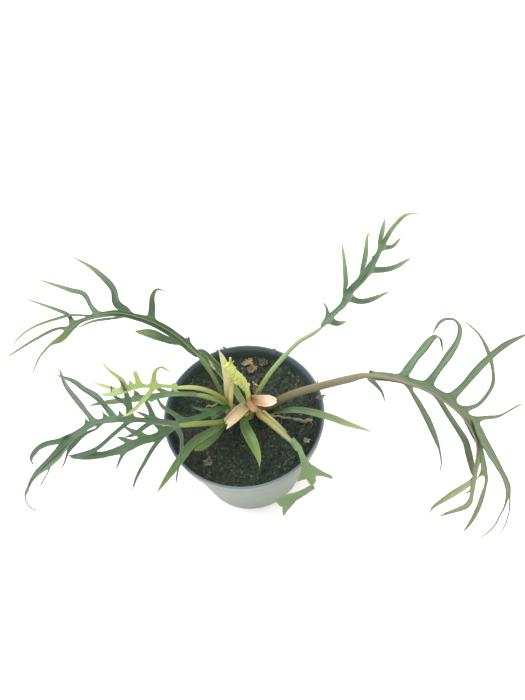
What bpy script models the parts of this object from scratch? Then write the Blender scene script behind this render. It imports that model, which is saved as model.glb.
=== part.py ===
"""Potted Philodendron tortum: a nursery pot, potting mix, three short shoots and their leaves.

Metres, +Z up. The origin is the centre of the pot's underside. The broad right leaf droops
towards -Y, and sizes and places below are millimetres until they are turned to metres.
"""
import bpy
import bmesh
from math import ceil, cos, pi, radians, sin
from mathutils import Vector
from mathutils.bvhtree import BVHTree

MM = 0.001
GAP = 0.3                 # clearance between neighbouring pieces
UP = Vector((0, 0, 1))

# Pot
POT_HEIGHT = 92.0
POT_RIM_RADIUS = 60.0
POT_BASE_RADIUS = 44.0
POT_WALL = 1.6
POT_FLOOR = 2.2
RIM_BAND = 11.0           # height of the rim band
RIM_STEP = 2.0            # how far the band stands proud of the wall
RIM_LEAN = 0.8            # how far the band itself widens upwards
TURN_STEPS = 40           # facets round the pot and the mix
DRAIN_HOLES = 8
DRAIN_HOLE_RADIUS = 4.0
DRAIN_CIRCLE_RADIUS = 31.0
DRAIN_HOLE_STEPS = 16
FOOT_ROUND = 1.5          # rounding of the pot's foot
LIP_ROUND = 0.5

# Potting mix
SOIL_TOP = 82.0
SOIL_ROUGHNESS = 0.8
SOIL_RINGS = 7
SOIL_EDGE_DROP = 1.5      # how much lower the mix is at the wall

# Blades
BLADE_THICKNESS = 0.8
ROOT_STEP = 5.0           # spacing of a blade's cross rows, and the width of a lobe's root
LOBE_STEP = 7.0           # spacing of the rows along a lobe
PETIOLE_STEP = 9.0
PETIOLE_REACH = 30.0      # how far the petiole's ridge runs on along the blade
RIDGE_SAMPLES = 60
RIDGE_TAPER = ((0.25, 0.9), (0.5, 0.7), (0.75, 0.5), (1.0, 0.3))
CURVE_DIVISIONS = 16
ROLL_STOPS = 9
FINGER_RADII = (1.0, 0.9, 0.7, 0.35)
LEAST_RADIUS = 0.3

# Shoots
SHOOT_FOOT = 62.0         # how deep the shoots stand in the mix
SHOOT_STEPS = 14
SHOOT_NODE = 9.0          # spacing of the leaf scars
SCAR_HALF_HEIGHT = 1.2
SHOOT_WAIST = 0.93        # radius between the scars, as a share of the shoot's
SHOOTS = {
    "shoot_left": {"place": (-9, 3), "radius": 5.0, "top": 98.0},
    "shoot_middle": {"place": (3, 1), "radius": 4.4, "top": 102.0},
    "shoot_right": {"place": (13, 2), "radius": 4.4, "top": 97.0},
}


def lobe(path, *lobes, under=False):
    """One lobe of a blade, with its own lobes; under folds it beneath from the blade's other edge."""
    return {"path": path, "lobes": lobes, "under": under}


# A petiole runs from inside its shoot to the foot of the blade, and the rachis from there to
# the blade's own tip. A lobe springs from the rachis at the place nearest its first point.
# Blade points are (x, y, z, width).
LEAVES = {
    "leaf_upper_left": {
        "shoot": "shoot_left", "colour": "dark_leaf", "girth": (2.0, 1.3),
        "petiole": [(-9, 3, 88), (-11.4, 8.6, 96), (-19, 17, 121), (-27, 21, 134)],
        "rachis": [(-36, 26, 147, 4.0), (-45, 29, 156, 4.5), (-55, 30, 166, 5.5), (-65, 33, 171, 5.0),
                   (-78, 34, 175, 4.5), (-93, 34, 174, 3.5), (-103, 33, 169, 3.5), (-115, 29, 161, 4.5),
                   (-126, 30, 153, 2.5), (-138, 27, 142, 1.5), (-146, 23, 131, 0.8)],
        "lobes": [
            lobe([(-34, 29, 147, 2.0), (-32, 31, 149, 0.8)]),
            lobe([(-53, 32, 166, 5.5), (-54, 41, 171, 3.5), (-54, 50, 172, 3.5), (-50, 56, 171, 2.5),
                  (-46, 57, 166, 0.8)]),
            lobe([(-70, 35, 173, 8.0), (-76, 41, 177, 3.5), (-78, 51, 178, 3.5), (-84, 63, 176, 3.5),
                  (-99, 83, 170, 3.5), (-118, 105, 160, 0.8)]),
            lobe([(-89, 36, 174, 5.5), (-93, 41, 176, 3.0), (-99, 53, 176, 3.0), (-111, 61, 172, 3.0),
                  (-143, 89, 156, 0.8)]),
            lobe([(-95, 36, 174, 2.0), (-103, 37, 173, 1.5), (-111, 39, 171, 2.0), (-131, 40, 163, 1.5),
                  (-159, 39, 142, 0.8)]),
            lobe([(-105, 34, 169, 3.5), (-109, 40, 170, 2.5), (-118, 49, 167, 2.5),
                  (-154, 79, 148, 0.8)]),
            lobe([(-108, 33, 166, 2.5), (-119, 35, 162, 2.5), (-128, 36, 159, 2.0),
                  (-147, 35, 149, 1.5), (-163, 35, 138, 0.8)]),
            lobe([(-39, 25, 150, 5.5), (-47, 24, 157, 5.5), (-55, 24, 163, 5.5), (-65, 27, 163, 1.5)]),
            lobe([(-67, 32, 171, 1.5), (-77, 36, 168, 1.5), (-86, 38, 165, 1.5), (-97, 41, 161, 1.5),
                  (-110, 42, 154, 0.8)], under=True),
        ],
    },
    "leaf_upper_right": {
        "shoot": "shoot_right", "colour": "mid_leaf", "girth": (1.8, 1.2),
        "petiole": [(13, 2, 85), (15.7, 6, 94), (23, 16, 122), (36, 19, 138), (53, 21, 153)],
        "rachis": [(61, 24, 160, 2.5), (72, 32, 169, 4.5), (78, 36, 174, 5.5), (86, 45, 178, 4.5),
                   (94, 53, 181, 5.5), (99, 61, 183, 4.5), (110, 77, 184, 4.0), (119, 91, 182, 3.0),
                   (130, 102, 178, 2.5), (142, 109, 172, 0.8)],
        "lobes": [
            lobe([(63, 27, 161, 3.5), (63, 31, 166, 1.5), (60, 35, 168, 0.8)]),
            lobe([(75, 33, 173, 5.0), (76, 39, 178, 2.5), (77, 50, 183, 3.0), (78, 71, 184, 0.8)]),
            lobe([(87, 47, 178, 5.5), (90, 55, 182, 3.5), (94, 65, 184, 2.5), (97, 79, 185, 0.8)]),
            lobe([(104, 67, 184, 4.0), (106, 76, 187, 2.5), (110, 88, 187, 0.8)]),
            lobe([(64, 26, 160, 4.0), (69, 22, 158, 2.5), (76, 28, 153, 0.8)]),
            lobe([(77, 31, 173, 5.0), (83, 30, 171, 3.5), (93, 33, 167, 3.5), (109, 47, 158, 0.8)]),
            lobe([(92, 49, 180, 4.5), (100, 51, 178, 3.0), (111, 54, 175, 3.0), (128, 71, 165, 0.8)]),
            lobe([(104, 64, 184, 4.0), (112, 67, 181, 2.5), (121, 80, 176, 0.8)]),
        ],
    },
    "leaf_right": {
        "shoot": "shoot_right", "colour": "mid_leaf", "girth": (2.2, 1.6),
        "petiole": [(13, 2, 86), (18, 0.8, 93), (34, -3, 115), (55, -10, 137), (71, -18, 156)],
        "rachis": [(80, -23, 165, 3.5), (89, -28, 170, 4.5), (97, -34, 175, 5.0), (106, -39, 177, 4.5),
                   (114, -45, 177, 4.5), (121, -49, 174, 4.5), (128, -54, 170, 4.0),
                   (133, -60, 164, 3.0), (136, -67, 156, 2.5), (138, -72, 147, 2.5),
                   (138, -78, 138, 2.0), (135, -84, 128, 2.5), (134, -90, 122, 2.5),
                   (131, -93, 117, 3.0), (126, -94, 114, 2.0), (117, -95, 110, 0.8)],
        "lobes": [
            lobe([(82, -24, 166, 3.5), (85, -29, 163, 2.5), (88, -32, 158, 2.0), (89, -36, 154, 0.8)]),
            lobe([(97, -32, 176, 7.0), (102, -28, 182, 3.5), (108, -23, 188, 3.5), (112, -20, 192, 3.5),
                  (116, -18, 194, 2.5), (119, -18, 190, 1.5), (121, -22, 184, 0.8)]),
            lobe([(109, -40, 178, 6.0), (114, -36, 184, 3.0), (120, -31, 192, 3.5),
                  (125, -25, 197, 3.5), (128, -19, 199, 2.5), (128, -13, 200, 1.5), (124, -10, 199, 1.0),
                  (120, -10, 196, 1.5), (117, -13, 188, 0.8)]),
            lobe([(122, -49, 175, 5.5), (128, -44, 179, 3.5), (136, -38, 186, 3.5),
                  (146, -31, 189, 3.5), (156, -25, 190, 3.0), (172, -16, 186, 0.8)]),
            lobe([(129, -54, 170, 3.5), (136, -51, 170, 2.5), (142, -47, 173, 1.5),
                  (147, -42, 176, 1.5), (149, -35, 178, 1.5), (149, -25, 180, 2.5), (147, -11, 181, 1.5),
                  (142, 2, 179, 0.8)]),
            lobe([(133, -57, 167, 3.5), (139, -61, 161, 3.0), (142, -68, 153, 4.5),
                  (147, -73, 144, 5.5), (152, -79, 136, 5.0), (156, -83, 129, 5.0), (158, -89, 121, 3.0),
                  (155, -95, 112, 1.0), (150, -101, 102, 0.8), (144, -105, 93, 0.8)],
                 lobe([(137, -60, 163, 2.5), (143, -57, 163, 2.5), (149, -57, 163, 2.5),
                       (158, -53, 161, 1.5), (171, -46, 158, 0.8)]),
                 lobe([(159, -86, 123, 2.5), (160, -93, 113, 0.8), (159, -101, 101, 0.8),
                       (156, -104, 95, 0.8)])),
            lobe([(98, -36, 175, 1.5), (103, -44, 168, 2.5), (109, -49, 160, 3.5), (114, -54, 151, 4.0),
                  (118, -59, 142, 3.5), (121, -62, 134, 2.0), (122, -67, 127, 1.0), (122, -70, 118, 0.8)]),
            lobe([(112, -44, 177, 1.5), (119, -50, 169, 2.0), (125, -54, 159, 2.5),
                  (131, -58, 149, 3.5), (135, -62, 139, 4.0), (139, -66, 129, 3.5), (144, -73, 116, 0.8)]),
            lobe([(139, -71, 148, 3.0), (142, -76, 141, 3.5), (144, -81, 133, 3.0),
                  (143, -86, 124, 2.5), (141, -92, 114, 3.0), (138, -97, 105, 2.5), (134, -101, 96, 0.8)]),
            lobe([(136, -81, 132, 3.0), (131, -84, 127, 3.0), (124, -86, 118, 3.0),
                  (117, -88, 110, 2.5), (113, -90, 106, 0.8)]),
        ],
    },
    "leaf_left": {
        "shoot": "shoot_left", "colour": "dark_leaf", "girth": (1.9, 1.4),
        "petiole": [(-9, 3, 89), (-12, -1.5, 96), (-21, -17, 110), (-32, -23, 122)],
        "rachis": [(-41, -27, 130, 3.5), (-51, -26, 135, 4.5), (-63, -27, 140, 4.0),
                   (-74, -27, 142, 4.0), (-85, -26, 142, 4.5), (-94, -27, 139, 5.0),
                   (-102, -29, 135, 3.0), (-110, -31, 130, 4.0), (-117, -34, 126, 6.0),
                   (-124, -36, 121, 6.5), (-132, -39, 114, 5.5), (-140, -41, 108, 4.5),
                   (-146, -44, 102, 3.5), (-153, -49, 93, 2.0), (-155, -55, 87, 1.5),
                   (-148, -60, 84, 0.8)],
        "lobes": [
            lobe([(-55, -25, 138, 5.0), (-60, -15, 132, 3.5), (-66, -4, 125, 3.5), (-77, 11, 116, 2.5)]),
            lobe([(-69, -25, 140, 5.0), (-75, -13, 132, 3.5), (-79, 0, 124, 3.0), (-84, 12, 117, 3.0),
                  (-91, 25, 112, 0.8)],
                 lobe([(-74, -14, 133, 2.5), (-84, -5, 124, 3.0), (-93, 7, 116, 1.5)])),
            lobe([(-77, -25, 142, 2.0), (-78, -20, 143, 0.8)]),
            lobe([(-81, -25, 142, 6.0), (-86, -18, 144, 4.0), (-93, -10, 146, 4.0),
                  (-102, -2, 144, 4.0), (-113, 8, 139, 3.0), (-128, 19, 131, 0.8)]),
            lobe([(-87, -24, 142, 2.0), (-89, -20, 143, 0.8)]),
            lobe([(-95, -26, 140, 5.0), (-99, -20, 139, 3.5), (-110, -5, 133, 3.5), (-119, 7, 128, 3.5),
                  (-127, 20, 121, 3.0), (-135, 35, 114, 0.8)]),
            lobe([(-100, -28, 136, 2.5), (-102, -22, 137, 0.8)]),
            lobe([(-115, -33, 128, 4.0), (-120, -31, 128, 3.5), (-126, -31, 127, 4.5),
                  (-134, -31, 124, 4.5), (-140, -33, 119, 3.5), (-144, -36, 115, 2.0),
                  (-143, -38, 111, 0.8)]),
            lobe([(-40, -28, 130, 5.5), (-40, -33, 125, 3.5), (-41, -40, 119, 3.5),
                  (-43, -45, 112, 2.5), (-46, -50, 105, 1.5), (-48, -55, 98, 0.8)]),
            lobe([(-57, -27, 137, 4.0), (-62, -30, 136, 3.0), (-68, -33, 135, 2.5),
                  (-76, -34, 133, 0.8)]),
            lobe([(-70, -28, 141, 4.5), (-76, -32, 139, 3.0), (-85, -38, 134, 3.0),
                  (-97, -41, 128, 3.0), (-109, -40, 122, 2.5), (-119, -37, 119, 0.8)]),
            lobe([(-92, -28, 138, 2.5), (-99, -30, 132, 2.5), (-108, -31, 126, 2.5),
                  (-119, -34, 117, 0.8)],
                 lobe([(-113, -33, 122, 1.5), (-120, -38, 113, 0.8), (-125, -42, 108, 0.8)])),
            lobe([(-127, -38, 117, 2.5), (-134, -44, 106, 0.8), (-142, -50, 99, 0.8)]),
        ],
    },
    "leaf_left_low": {
        "shoot": "shoot_left", "colour": "dark_leaf", "girth": (1.5, 1.1),
        "petiole": [(-9, 3, 80), (-13.6, -0.4, 86), (-17, 0, 97)],
        "rachis": [(-25, -6, 106, 3.5), (-35, -15, 114, 5.0), (-42, -19, 117, 5.5),
                   (-48, -23, 119, 5.5), (-57, -30, 121, 5.5), (-67, -32, 121, 5.5),
                   (-77, -35, 120, 5.5), (-94, -36, 116, 4.5), (-106, -36, 112, 3.5),
                   (-120, -34, 108, 0.8)],
        "lobes": [
            lobe([(-27, -7, 109, 3.0), (-31, -6, 111, 3.0), (-36, -5, 112, 0.8)]),
            lobe([(-39, -18, 117, 5.0), (-48, -11, 117, 3.5), (-54, -6, 116, 3.5), (-58, 1, 113, 3.0),
                  (-63, 11, 109, 0.8)]),
            lobe([(-53, -27, 121, 4.5), (-58, -21, 121, 3.5), (-64, -14, 119, 3.5), (-75, -6, 115, 0.8)]),
            lobe([(-64, -31, 122, 4.5), (-70, -27, 121, 3.5), (-77, -22, 119, 2.5),
                  (-85, -14, 115, 0.8)]),
            lobe([(-76, -34, 121, 3.5), (-81, -29, 119, 2.5), (-86, -26, 117, 0.8)]),
            lobe([(-58, -32, 122, 4.5), (-62, -36, 117, 3.0), (-68, -43, 110, 3.0),
                  (-74, -49, 101, 2.5), (-78, -55, 95, 0.8)]),
            lobe([(-80, -37, 120, 2.5), (-84, -41, 114, 2.0), (-87, -45, 109, 0.8)]),
        ],
    },
    "leaf_left_young": {
        "shoot": "shoot_left", "colour": "young_leaf", "girth": (1.4, 1.0),
        "petiole": [(-9, 3, 86), (-14.3, 3.8, 96), (-21, 0, 119), (-32, -3, 136)],
        "rachis": [(-40, -7, 146, 2.5), (-49, -9, 151, 2.5), (-59, -11, 155, 3.0), (-67, -13, 158, 3.0),
                   (-74, -15, 157, 2.5), (-89, -12, 152, 0.8)],
        "lobes": [
            lobe([(-51, -10, 153, 3.0), (-53, -5, 157, 2.0), (-52, -2, 161, 2.0), (-47, -1, 162, 2.0),
                  (-41, -5, 158, 0.8)]),
            lobe([(-61, -11, 156, 3.0), (-63, -7, 159, 3.0), (-65, -3, 161, 2.0)]),
            lobe([(-69, -12, 158, 3.0), (-74, -6, 162, 3.0), (-80, -2, 163, 2.5), (-86, 9, 161, 0.8)]),
            lobe([(-75, -14, 157, 2.5), (-81, -12, 157, 2.0), (-94, -4, 153, 0.8)]),
            lobe([(-54, -12, 154, 3.0), (-57, -16, 154, 3.0), (-63, -24, 153, 3.0),
                  (-72, -29, 151, 0.8)]),
        ],
    },
    "leaf_left_middle": {
        "shoot": "shoot_left", "colour": "mid_leaf", "girth": (1.5, 1.1),
        "petiole": [(-9, 3, 80), (-14.4, 3.2, 87), (-21, 4, 104)],
        "rachis": [(-31, 1, 120, 3.0), (-39, -1, 125, 4.0), (-48, -2, 128, 4.0), (-57, -2, 130, 4.5),
                   (-68, -5, 131, 4.5), (-80, -5, 130, 4.0), (-93, -3, 126, 3.0), (-105, -2, 122, 0.8)],
        "lobes": [
            lobe([(-50, -1, 129, 3.5), (-54, 2, 130, 3.0), (-58, 3, 131, 0.8)]),
            lobe([(-66, -5, 131, 3.5), (-69, -2, 132, 2.5), (-73, 1, 133, 0.8)]),
            lobe([(-56, -5, 131, 2.5), (-59, -9, 133, 2.0), (-61, -12, 134, 0.8)]),
        ],
    },
    "leaf_front_right": {
        "shoot": "shoot_right", "colour": "mid_leaf", "girth": (1.6, 1.2),
        "petiole": [(13, 2, 84), (12.6, -3.2, 91), (20, -17, 102), (28, -28, 108)],
        "rachis": [(33, -34, 110, 3.5), (36, -41, 110, 5.0), (39, -47, 109, 6.5), (41, -53, 106, 8.5),
                   (42, -58, 104, 8.0), (43, -62, 100, 4.5), (42, -65, 95, 3.5), (37, -65, 91, 4.5),
                   (30, -66, 88, 6.0), (23, -67, 84, 6.0), (17, -65, 82, 0.8)],
        "lobes": [
            lobe([(44, -53, 106, 6.5), (47, -56, 104, 4.5), (52, -58, 100, 3.5), (58, -60, 97, 0.8)]),
            lobe([(38, -55, 104, 5.5), (35, -58, 101, 4.0), (33, -61, 99, 1.5)]),
            lobe([(28, -67, 87, 6.0), (26, -71, 82, 5.0), (23, -76, 75, 0.8)]),
        ],
    },
    "leaf_back_curled": {
        "shoot": "shoot_middle", "colour": "dark_leaf", "girth": (1.2, 0.9),
        "petiole": [(3, 1, 85), (0, 5.5, 93), (-7, 17, 102), (-14, 23, 112)],
        "rachis": [(-20, 26, 121, 3.0), (-23, 28, 125, 3.5), (-26, 31, 129, 4.5), (-29, 32, 131, 3.5),
                   (-33, 33, 129, 1.5)],
        "lobes": [],
    },
}

# Undivided leaves and papery scales: a strip that starts inside its shoot.
STRAPS = {
    "strap_leaf_outer": {
        "shoot": "shoot_left", "colour": "mid_leaf",
        "path": [(-9, 3, 85, 3.0), (-11.5, -2, 91.5, 3.0), (-15, -9, 96, 4.5), (-22, -19, 101, 6.5),
                 (-31, -25, 104, 7.0), (-39, -32, 104, 7.0), (-48, -43, 101, 6.5), (-57, -51, 94, 5.0),
                 (-63, -57, 90, 0.8)]},
    "strap_leaf_inner": {
        "shoot": "shoot_left", "colour": "bright_leaf",
        "path": [(-9, 3, 81, 3.0), (-10, -2.5, 85.5, 3.5), (-15, -8, 89, 6.0), (-20, -16, 93, 8.0),
                 (-26, -24, 95, 8.0), (-32, -28, 94, 6.5), (-37, -29, 93, 2.0)]},
    "strap_leaf_front": {
        "shoot": "shoot_middle", "colour": "bright_leaf",
        "path": [(3, 1, 86, 3.0), (2.5, -4, 92.5, 4.5), (0, -12, 97, 6.0), (3, -22, 101, 8.0),
                 (6, -32, 102, 8.5), (8, -40, 99, 7.5), (9, -47, 94, 0.8)]},
    "strap_leaf_right": {
        "shoot": "shoot_right", "colour": "bright_leaf",
        "path": [(13, 2, 82, 3.0), (17, -1.4, 88, 4.0), (19, -3, 92, 4.5), (27, -8, 101, 5.0),
                 (36, -12, 109, 5.5), (44, -16, 113, 5.5), (58, -24, 117, 5.5), (69, -28, 115, 5.0),
                 (88, -33, 107, 0.8)]},
    "bract_left": {
        "shoot": "shoot_middle", "colour": "bract",
        "path": [(3, 1, 97, 6.0), (0, -5, 107, 8.0), (-4, -9, 110, 9.0), (-9, -13, 108, 9.0),
                 (-12, -14, 105, 7.0)]},
    "bract_right": {
        "shoot": "shoot_middle", "colour": "bract",
        "path": [(3, 1, 96, 6.0), (10, 1, 107, 8.0), (17, -1, 111, 8.5), (25, -5, 112, 5.0)]},
}

# Upright pieces that stand on a shoot's top: tapered rolls, as (x, y, z, radius).
ROLLS = {
    "spear_cataphyll": {
        "colour": "cream_sheath",
        "stops": [(-10, 2.5, 99, 1.8), (-10.5, 6, 110, 2.4), (-10.5, 11, 126, 2.2), (-11, 14, 139, 1.3),
                  (-11.5, 16, 150, 0.3)],
        "fingers": []},
    "stub_cataphyll": {
        "colour": "tan_sheath",
        "stops": [(-6.6, 3, 98.8, 1.3), (-6.8, 7, 110, 1.3), (-7, 10, 120, 0.9)],
        "fingers": []},
    "unfurling_leaf": {
        "colour": "young_leaf",
        "stops": [(3, 2, 103.2, 1.7), (3, 6, 111, 2.5), (1, 11, 119, 3.0), (-4, 13, 124, 3.0),
                  (-8, 15, 128, 1.8)],
        "fingers": [
            [(-5, 14, 126), (-6, 17, 130), (-5, 20, 134)],
            [(-3, 13, 124), (-3, 16, 128), (-2, 19, 131)],
            [(1, 10, 118), (-1, 14, 122), (-1, 17, 126)],
            [(3, 8, 113), (5, 11, 117), (4, 14, 121)],
        ]},
}

# Dry flakes that lie on the mix, as their two ends in plan, and an old root.
SCRAPS = {
    "scrap_back_left": {"width": 6.0, "ends": [(-1, 48), (8, 50)]},
    "scrap_back_middle": {"width": 5.0, "ends": [(3, 41), (13, 43)]},
    "scrap_back_right": {"width": 5.0, "ends": [(13, 49), (20, 45)]},
    "scrap_beside_shoot": {"width": 2.6, "ends": [(9, 27), (10, 20)]},
    "scrap_front_left": {"width": 4.5, "ends": [(-30, -31), (-24, -36)]},
    "scrap_right": {"width": 3.6, "ends": [(42, -22), (47, -25)]},
}
ROOT_PATH = [(21, -4), (31, -3), (41, -6), (50, -8)]
ROOT_RADIUS = 0.6
ROOT_STOPS = 14
ROOT_LIFT = 0.95          # height of the root's middle over the mix
SCRAP_LIFT = 0.9          # height of a flake's middle over the mix
FLAKE_CURL = 1.6          # how far a dry flake's edges rise

# Colours (linear), roughness and metallic
MATERIALS = {
    "outer_plastic": ((0.42, 0.45, 0.41), 0.45),
    "soil": ((0.035, 0.035, 0.022), 0.95),
    "shoot": ((0.20, 0.24, 0.08), 0.6),
    "dark_leaf": ((0.045, 0.13, 0.075), 0.45),
    "mid_leaf": ((0.08, 0.19, 0.06), 0.45),
    "bright_leaf": ((0.13, 0.30, 0.07), 0.45),
    "young_leaf": ((0.42, 0.60, 0.08), 0.45),
    "bract": ((0.72, 0.42, 0.30), 0.6),
    "cream_sheath": ((0.72, 0.60, 0.36), 0.6),
    "tan_sheath": ((0.76, 0.55, 0.22), 0.6),
    "dry": ((0.40, 0.22, 0.09), 0.8),
}


def clear_scene():
    for thing in list(bpy.data.objects):
        bpy.data.objects.remove(thing, do_unlink=True)


def make_collection(name):
    made = bpy.data.collections.new(name)
    bpy.context.scene.collection.children.link(made)
    return made


def make_material(name):
    """A Principled material from the list of colours."""
    if name in bpy.data.materials:
        return bpy.data.materials[name]
    colour, roughness = MATERIALS[name]
    made = bpy.data.materials.new(name)
    made.use_nodes = True
    shader = made.node_tree.nodes["Principled BSDF"]
    shader.inputs["Base Color"].default_value = (*colour, 1.0)
    shader.inputs["Roughness"].default_value = roughness
    shader.inputs["Metallic"].default_value = 0.0
    return made


def add_object(name, data, home, material=None):
    thing = bpy.data.objects.new(name, data)
    home.objects.link(thing)
    if material:
        data.materials.append(make_material(material))
    return thing


def object_from_bmesh(name, bm, home, material=None):
    """Turns a mesh in millimetres into an object in metres."""
    bmesh.ops.scale(bm, vec=(MM, MM, MM), verts=bm.verts)
    mesh = bpy.data.meshes.new(name)
    bm.to_mesh(mesh)
    bm.free()
    return add_object(name, mesh, home, material)


def smooth_shading(thing, angle=40):
    thing.data.shade_smooth()
    thing.data.set_sharp_from_angle(angle=radians(angle))


def as_cutter(thing):
    thing.hide_render = True
    thing.display_type = "WIRE"
    return thing


def add_boolean(thing, operation, other):
    step = thing.modifiers.new(operation.lower(), "BOOLEAN")
    step.operation = operation
    step.object = other
    step.solver = "EXACT"
    return step


def turned(name, profile, steps, home, material=None):
    """A turned body: a profile of (radius, height) that runs down its outer side."""
    bm = bmesh.new()
    points = [bm.verts.new((radius, 0, height)) for radius, height in profile]
    for one, other in zip(points, points[1:]):
        bm.edges.new((one, other))
    thing = object_from_bmesh(name, bm, home, material)
    turn = thing.modifiers.new("turn", "SCREW")
    turn.steps = steps
    turn.render_steps = steps
    turn.use_merge_vertices = True
    turn.merge_threshold = 0.01 * MM
    return thing


def cylinder(bm, x, y, radius, low, high, steps):
    made = bmesh.ops.create_cone(bm, cap_ends=True, segments=steps, radius1=radius, radius2=radius,
                                 depth=high - low)
    bmesh.ops.translate(bm, verts=made["verts"], vec=(x, y, (low + high) / 2))


def baked_mesh(thing):
    """The object's mesh as its modifiers or its curve leave it, welded."""
    shape = thing.evaluated_get(bpy.context.evaluated_depsgraph_get())
    mesh = bpy.data.meshes.new_from_object(shape)
    bm = bmesh.new()
    bm.from_mesh(mesh)
    bmesh.ops.remove_doubles(bm, verts=bm.verts, dist=0.005 * MM)
    bm.to_mesh(mesh)
    bm.free()
    return mesh


def through(points, count):
    """Evenly spaced points along a smooth curve through the given ones; a fourth value rides along."""
    stops = [Vector(point) for point in points]
    line = [2 * stops[0] - stops[1], *stops, 2 * stops[-1] - stops[-2]]
    dense = []
    for before, start, end, after in zip(line, line[1:], line[2:], line[3:]):
        for part in range(CURVE_DIVISIONS):
            t = part / CURVE_DIVISIONS
            bend = (2 * before - 5 * start + 4 * end - after) * t * t
            swing = (3 * start - before - 3 * end + after) * t ** 3
            dense.append((2 * start + (end - before) * t + bend + swing) / 2)
    dense.append(stops[-1])
    travelled = [0.0]
    for one, other in zip(dense, dense[1:]):
        travelled.append(travelled[-1] + (other.xyz - one.xyz).length)
    spaced = []
    spot = 0
    for index in range(count):
        goal = travelled[-1] * index / (count - 1)
        while spot < len(dense) - 2 and travelled[spot + 1] < goal:
            spot += 1
        share = (goal - travelled[spot]) / (travelled[spot + 1] - travelled[spot])
        spaced.append(dense[spot].lerp(dense[spot + 1], min(1.0, share)))
    return spaced


def length_of(points):
    line = through(points, 40)
    return sum((other.xyz - one.xyz).length for one, other in zip(line, line[1:]))


def carried_frames(path, normal):
    """The direction and the upper side's normal at each point, carried along untwisted."""
    frames = []
    for index in range(len(path)):
        ahead = path[min(index + 1, len(path) - 1)].xyz - path[max(index - 1, 0)].xyz
        direction = ahead.normalized()
        normal = (normal - direction * normal.dot(direction)).normalized()
        frames.append((direction, normal))
    return frames


def extrude_row(bm, row, places):
    """Extrudes the edges that join a row of vertices, and moves the new row to its places."""
    edges = [bm.edges.get(pair) for pair in zip(row, row[1:])]
    made = bmesh.ops.extrude_edge_only(bm, edges=edges)["geom"]
    fresh = {item for item in made if isinstance(item, bmesh.types.BMVert)}
    new_row = []
    for vertex, place in zip(row, places):
        twin = next(edge.other_vert(vertex) for edge in vertex.link_edges
                    if edge.other_vert(vertex) in fresh)
        twin.co = place
        new_row.append(twin)
    return new_row


def grow_blade(bm, row, path, normal, lobes=()):
    """Grows a strip from a row of three vertices to a point, then its lobes from its edges."""
    frames = carried_frames(path, normal)
    root_across = (row[0].co - row[2].co).normalized()
    rows = [row]
    for index in range(1, len(path)):
        direction, upper = frames[index]
        lean = 0.5 ** index if index < 3 else 0.0
        across = (upper.cross(direction) * (1 - lean) + root_across * lean).normalized()
        centre = path[index].xyz
        reach = across * path[index].w / 2
        rows.append(extrude_row(bm, rows[-1], (centre + reach, centre, centre - reach)))
    taken = set()
    for piece in lobes:
        grow_lobe(bm, rows, frames, piece, taken)
    bmesh.ops.pointmerge(bm, verts=rows[-1], merge_co=path[-1].xyz)


def grow_lobe(bm, rows, frames, piece, taken):
    """Splits the nearest free edge of the parent strip at its middle, and grows the lobe there."""
    first, second = (Vector(point[:3]) for point in piece["path"][:2])
    near = min(range(len(rows) - 1), key=lambda spot: (rows[spot][1].co - first).length)
    direction, upper = frames[near]
    leftward = upper.cross(direction).dot(second - rows[near][1].co) > 0
    side = 0 if leftward != piece["under"] else 2
    free = [spot for spot in range(len(rows) - 2) if (spot, side) not in taken]

    def distance(spot):
        return ((rows[spot][side].co + rows[spot + 1][side].co) / 2 - first).length

    spot = min(free, key=distance)
    taken.add((spot, side))
    back, front = rows[spot][side], rows[spot + 1][side]
    middle = bmesh.utils.edge_split(bm.edges.get((back, front)), back, 0.5)[1]
    row = [back, middle, front] if side == 0 else [front, middle, back]
    guide = [(*middle.co, piece["path"][0][3]), *piece["path"][1:]]
    count = max(3, ceil(length_of(guide) / LOBE_STEP) + 1)
    grow_blade(bm, row, through(guide, count), frames[spot][1], piece["lobes"])


def blade_mesh(path, lobes=()):
    """The middle surface of a whole blade, split into triangles."""
    count = max(4, ceil(length_of(path) / ROOT_STEP) + 1)
    line = through(path, count)
    direction, upper = carried_frames(line, UP)[0]
    centre = line[0].xyz
    reach = upper.cross(direction) * line[0].w / 2
    bm = bmesh.new()
    row = [bm.verts.new(place) for place in (centre + reach, centre, centre - reach)]
    for one, other in zip(row, row[1:]):
        bm.edges.new((one, other))
    grow_blade(bm, row, line, UP, lobes)
    bmesh.ops.recalc_face_normals(bm, faces=bm.faces)
    bmesh.ops.triangulate(bm, faces=bm.faces)
    return bm


def thicken(thing, thickness=BLADE_THICKNESS):
    shell = thing.modifiers.new("thickness", "SOLIDIFY")
    shell.thickness = thickness * MM
    shell.offset = 0.0


def tube(name, stops, home, material=None, resolution=1):
    """A round tube through (x, y, z, radius) stops, as a closed mesh."""
    curve = bpy.data.curves.new(name, "CURVE")
    curve.dimensions = "3D"
    curve.bevel_depth = MM
    curve.bevel_resolution = resolution
    curve.use_fill_caps = True
    spline = curve.splines.new("POLY")
    spline.points.add(len(stops) - 1)
    for point, (x, y, z, radius) in zip(spline.points, stops):
        point.co = (x * MM, y * MM, z * MM, 1.0)
        point.radius = radius
    guide = add_object(name + "_line", curve, home)
    bpy.context.view_layer.update()
    mesh = baked_mesh(guide)
    mesh.name = name
    made = add_object(name, mesh, home, material)
    made.matrix_world = guide.matrix_world
    bpy.data.objects.remove(guide, do_unlink=True)
    return made


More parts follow.
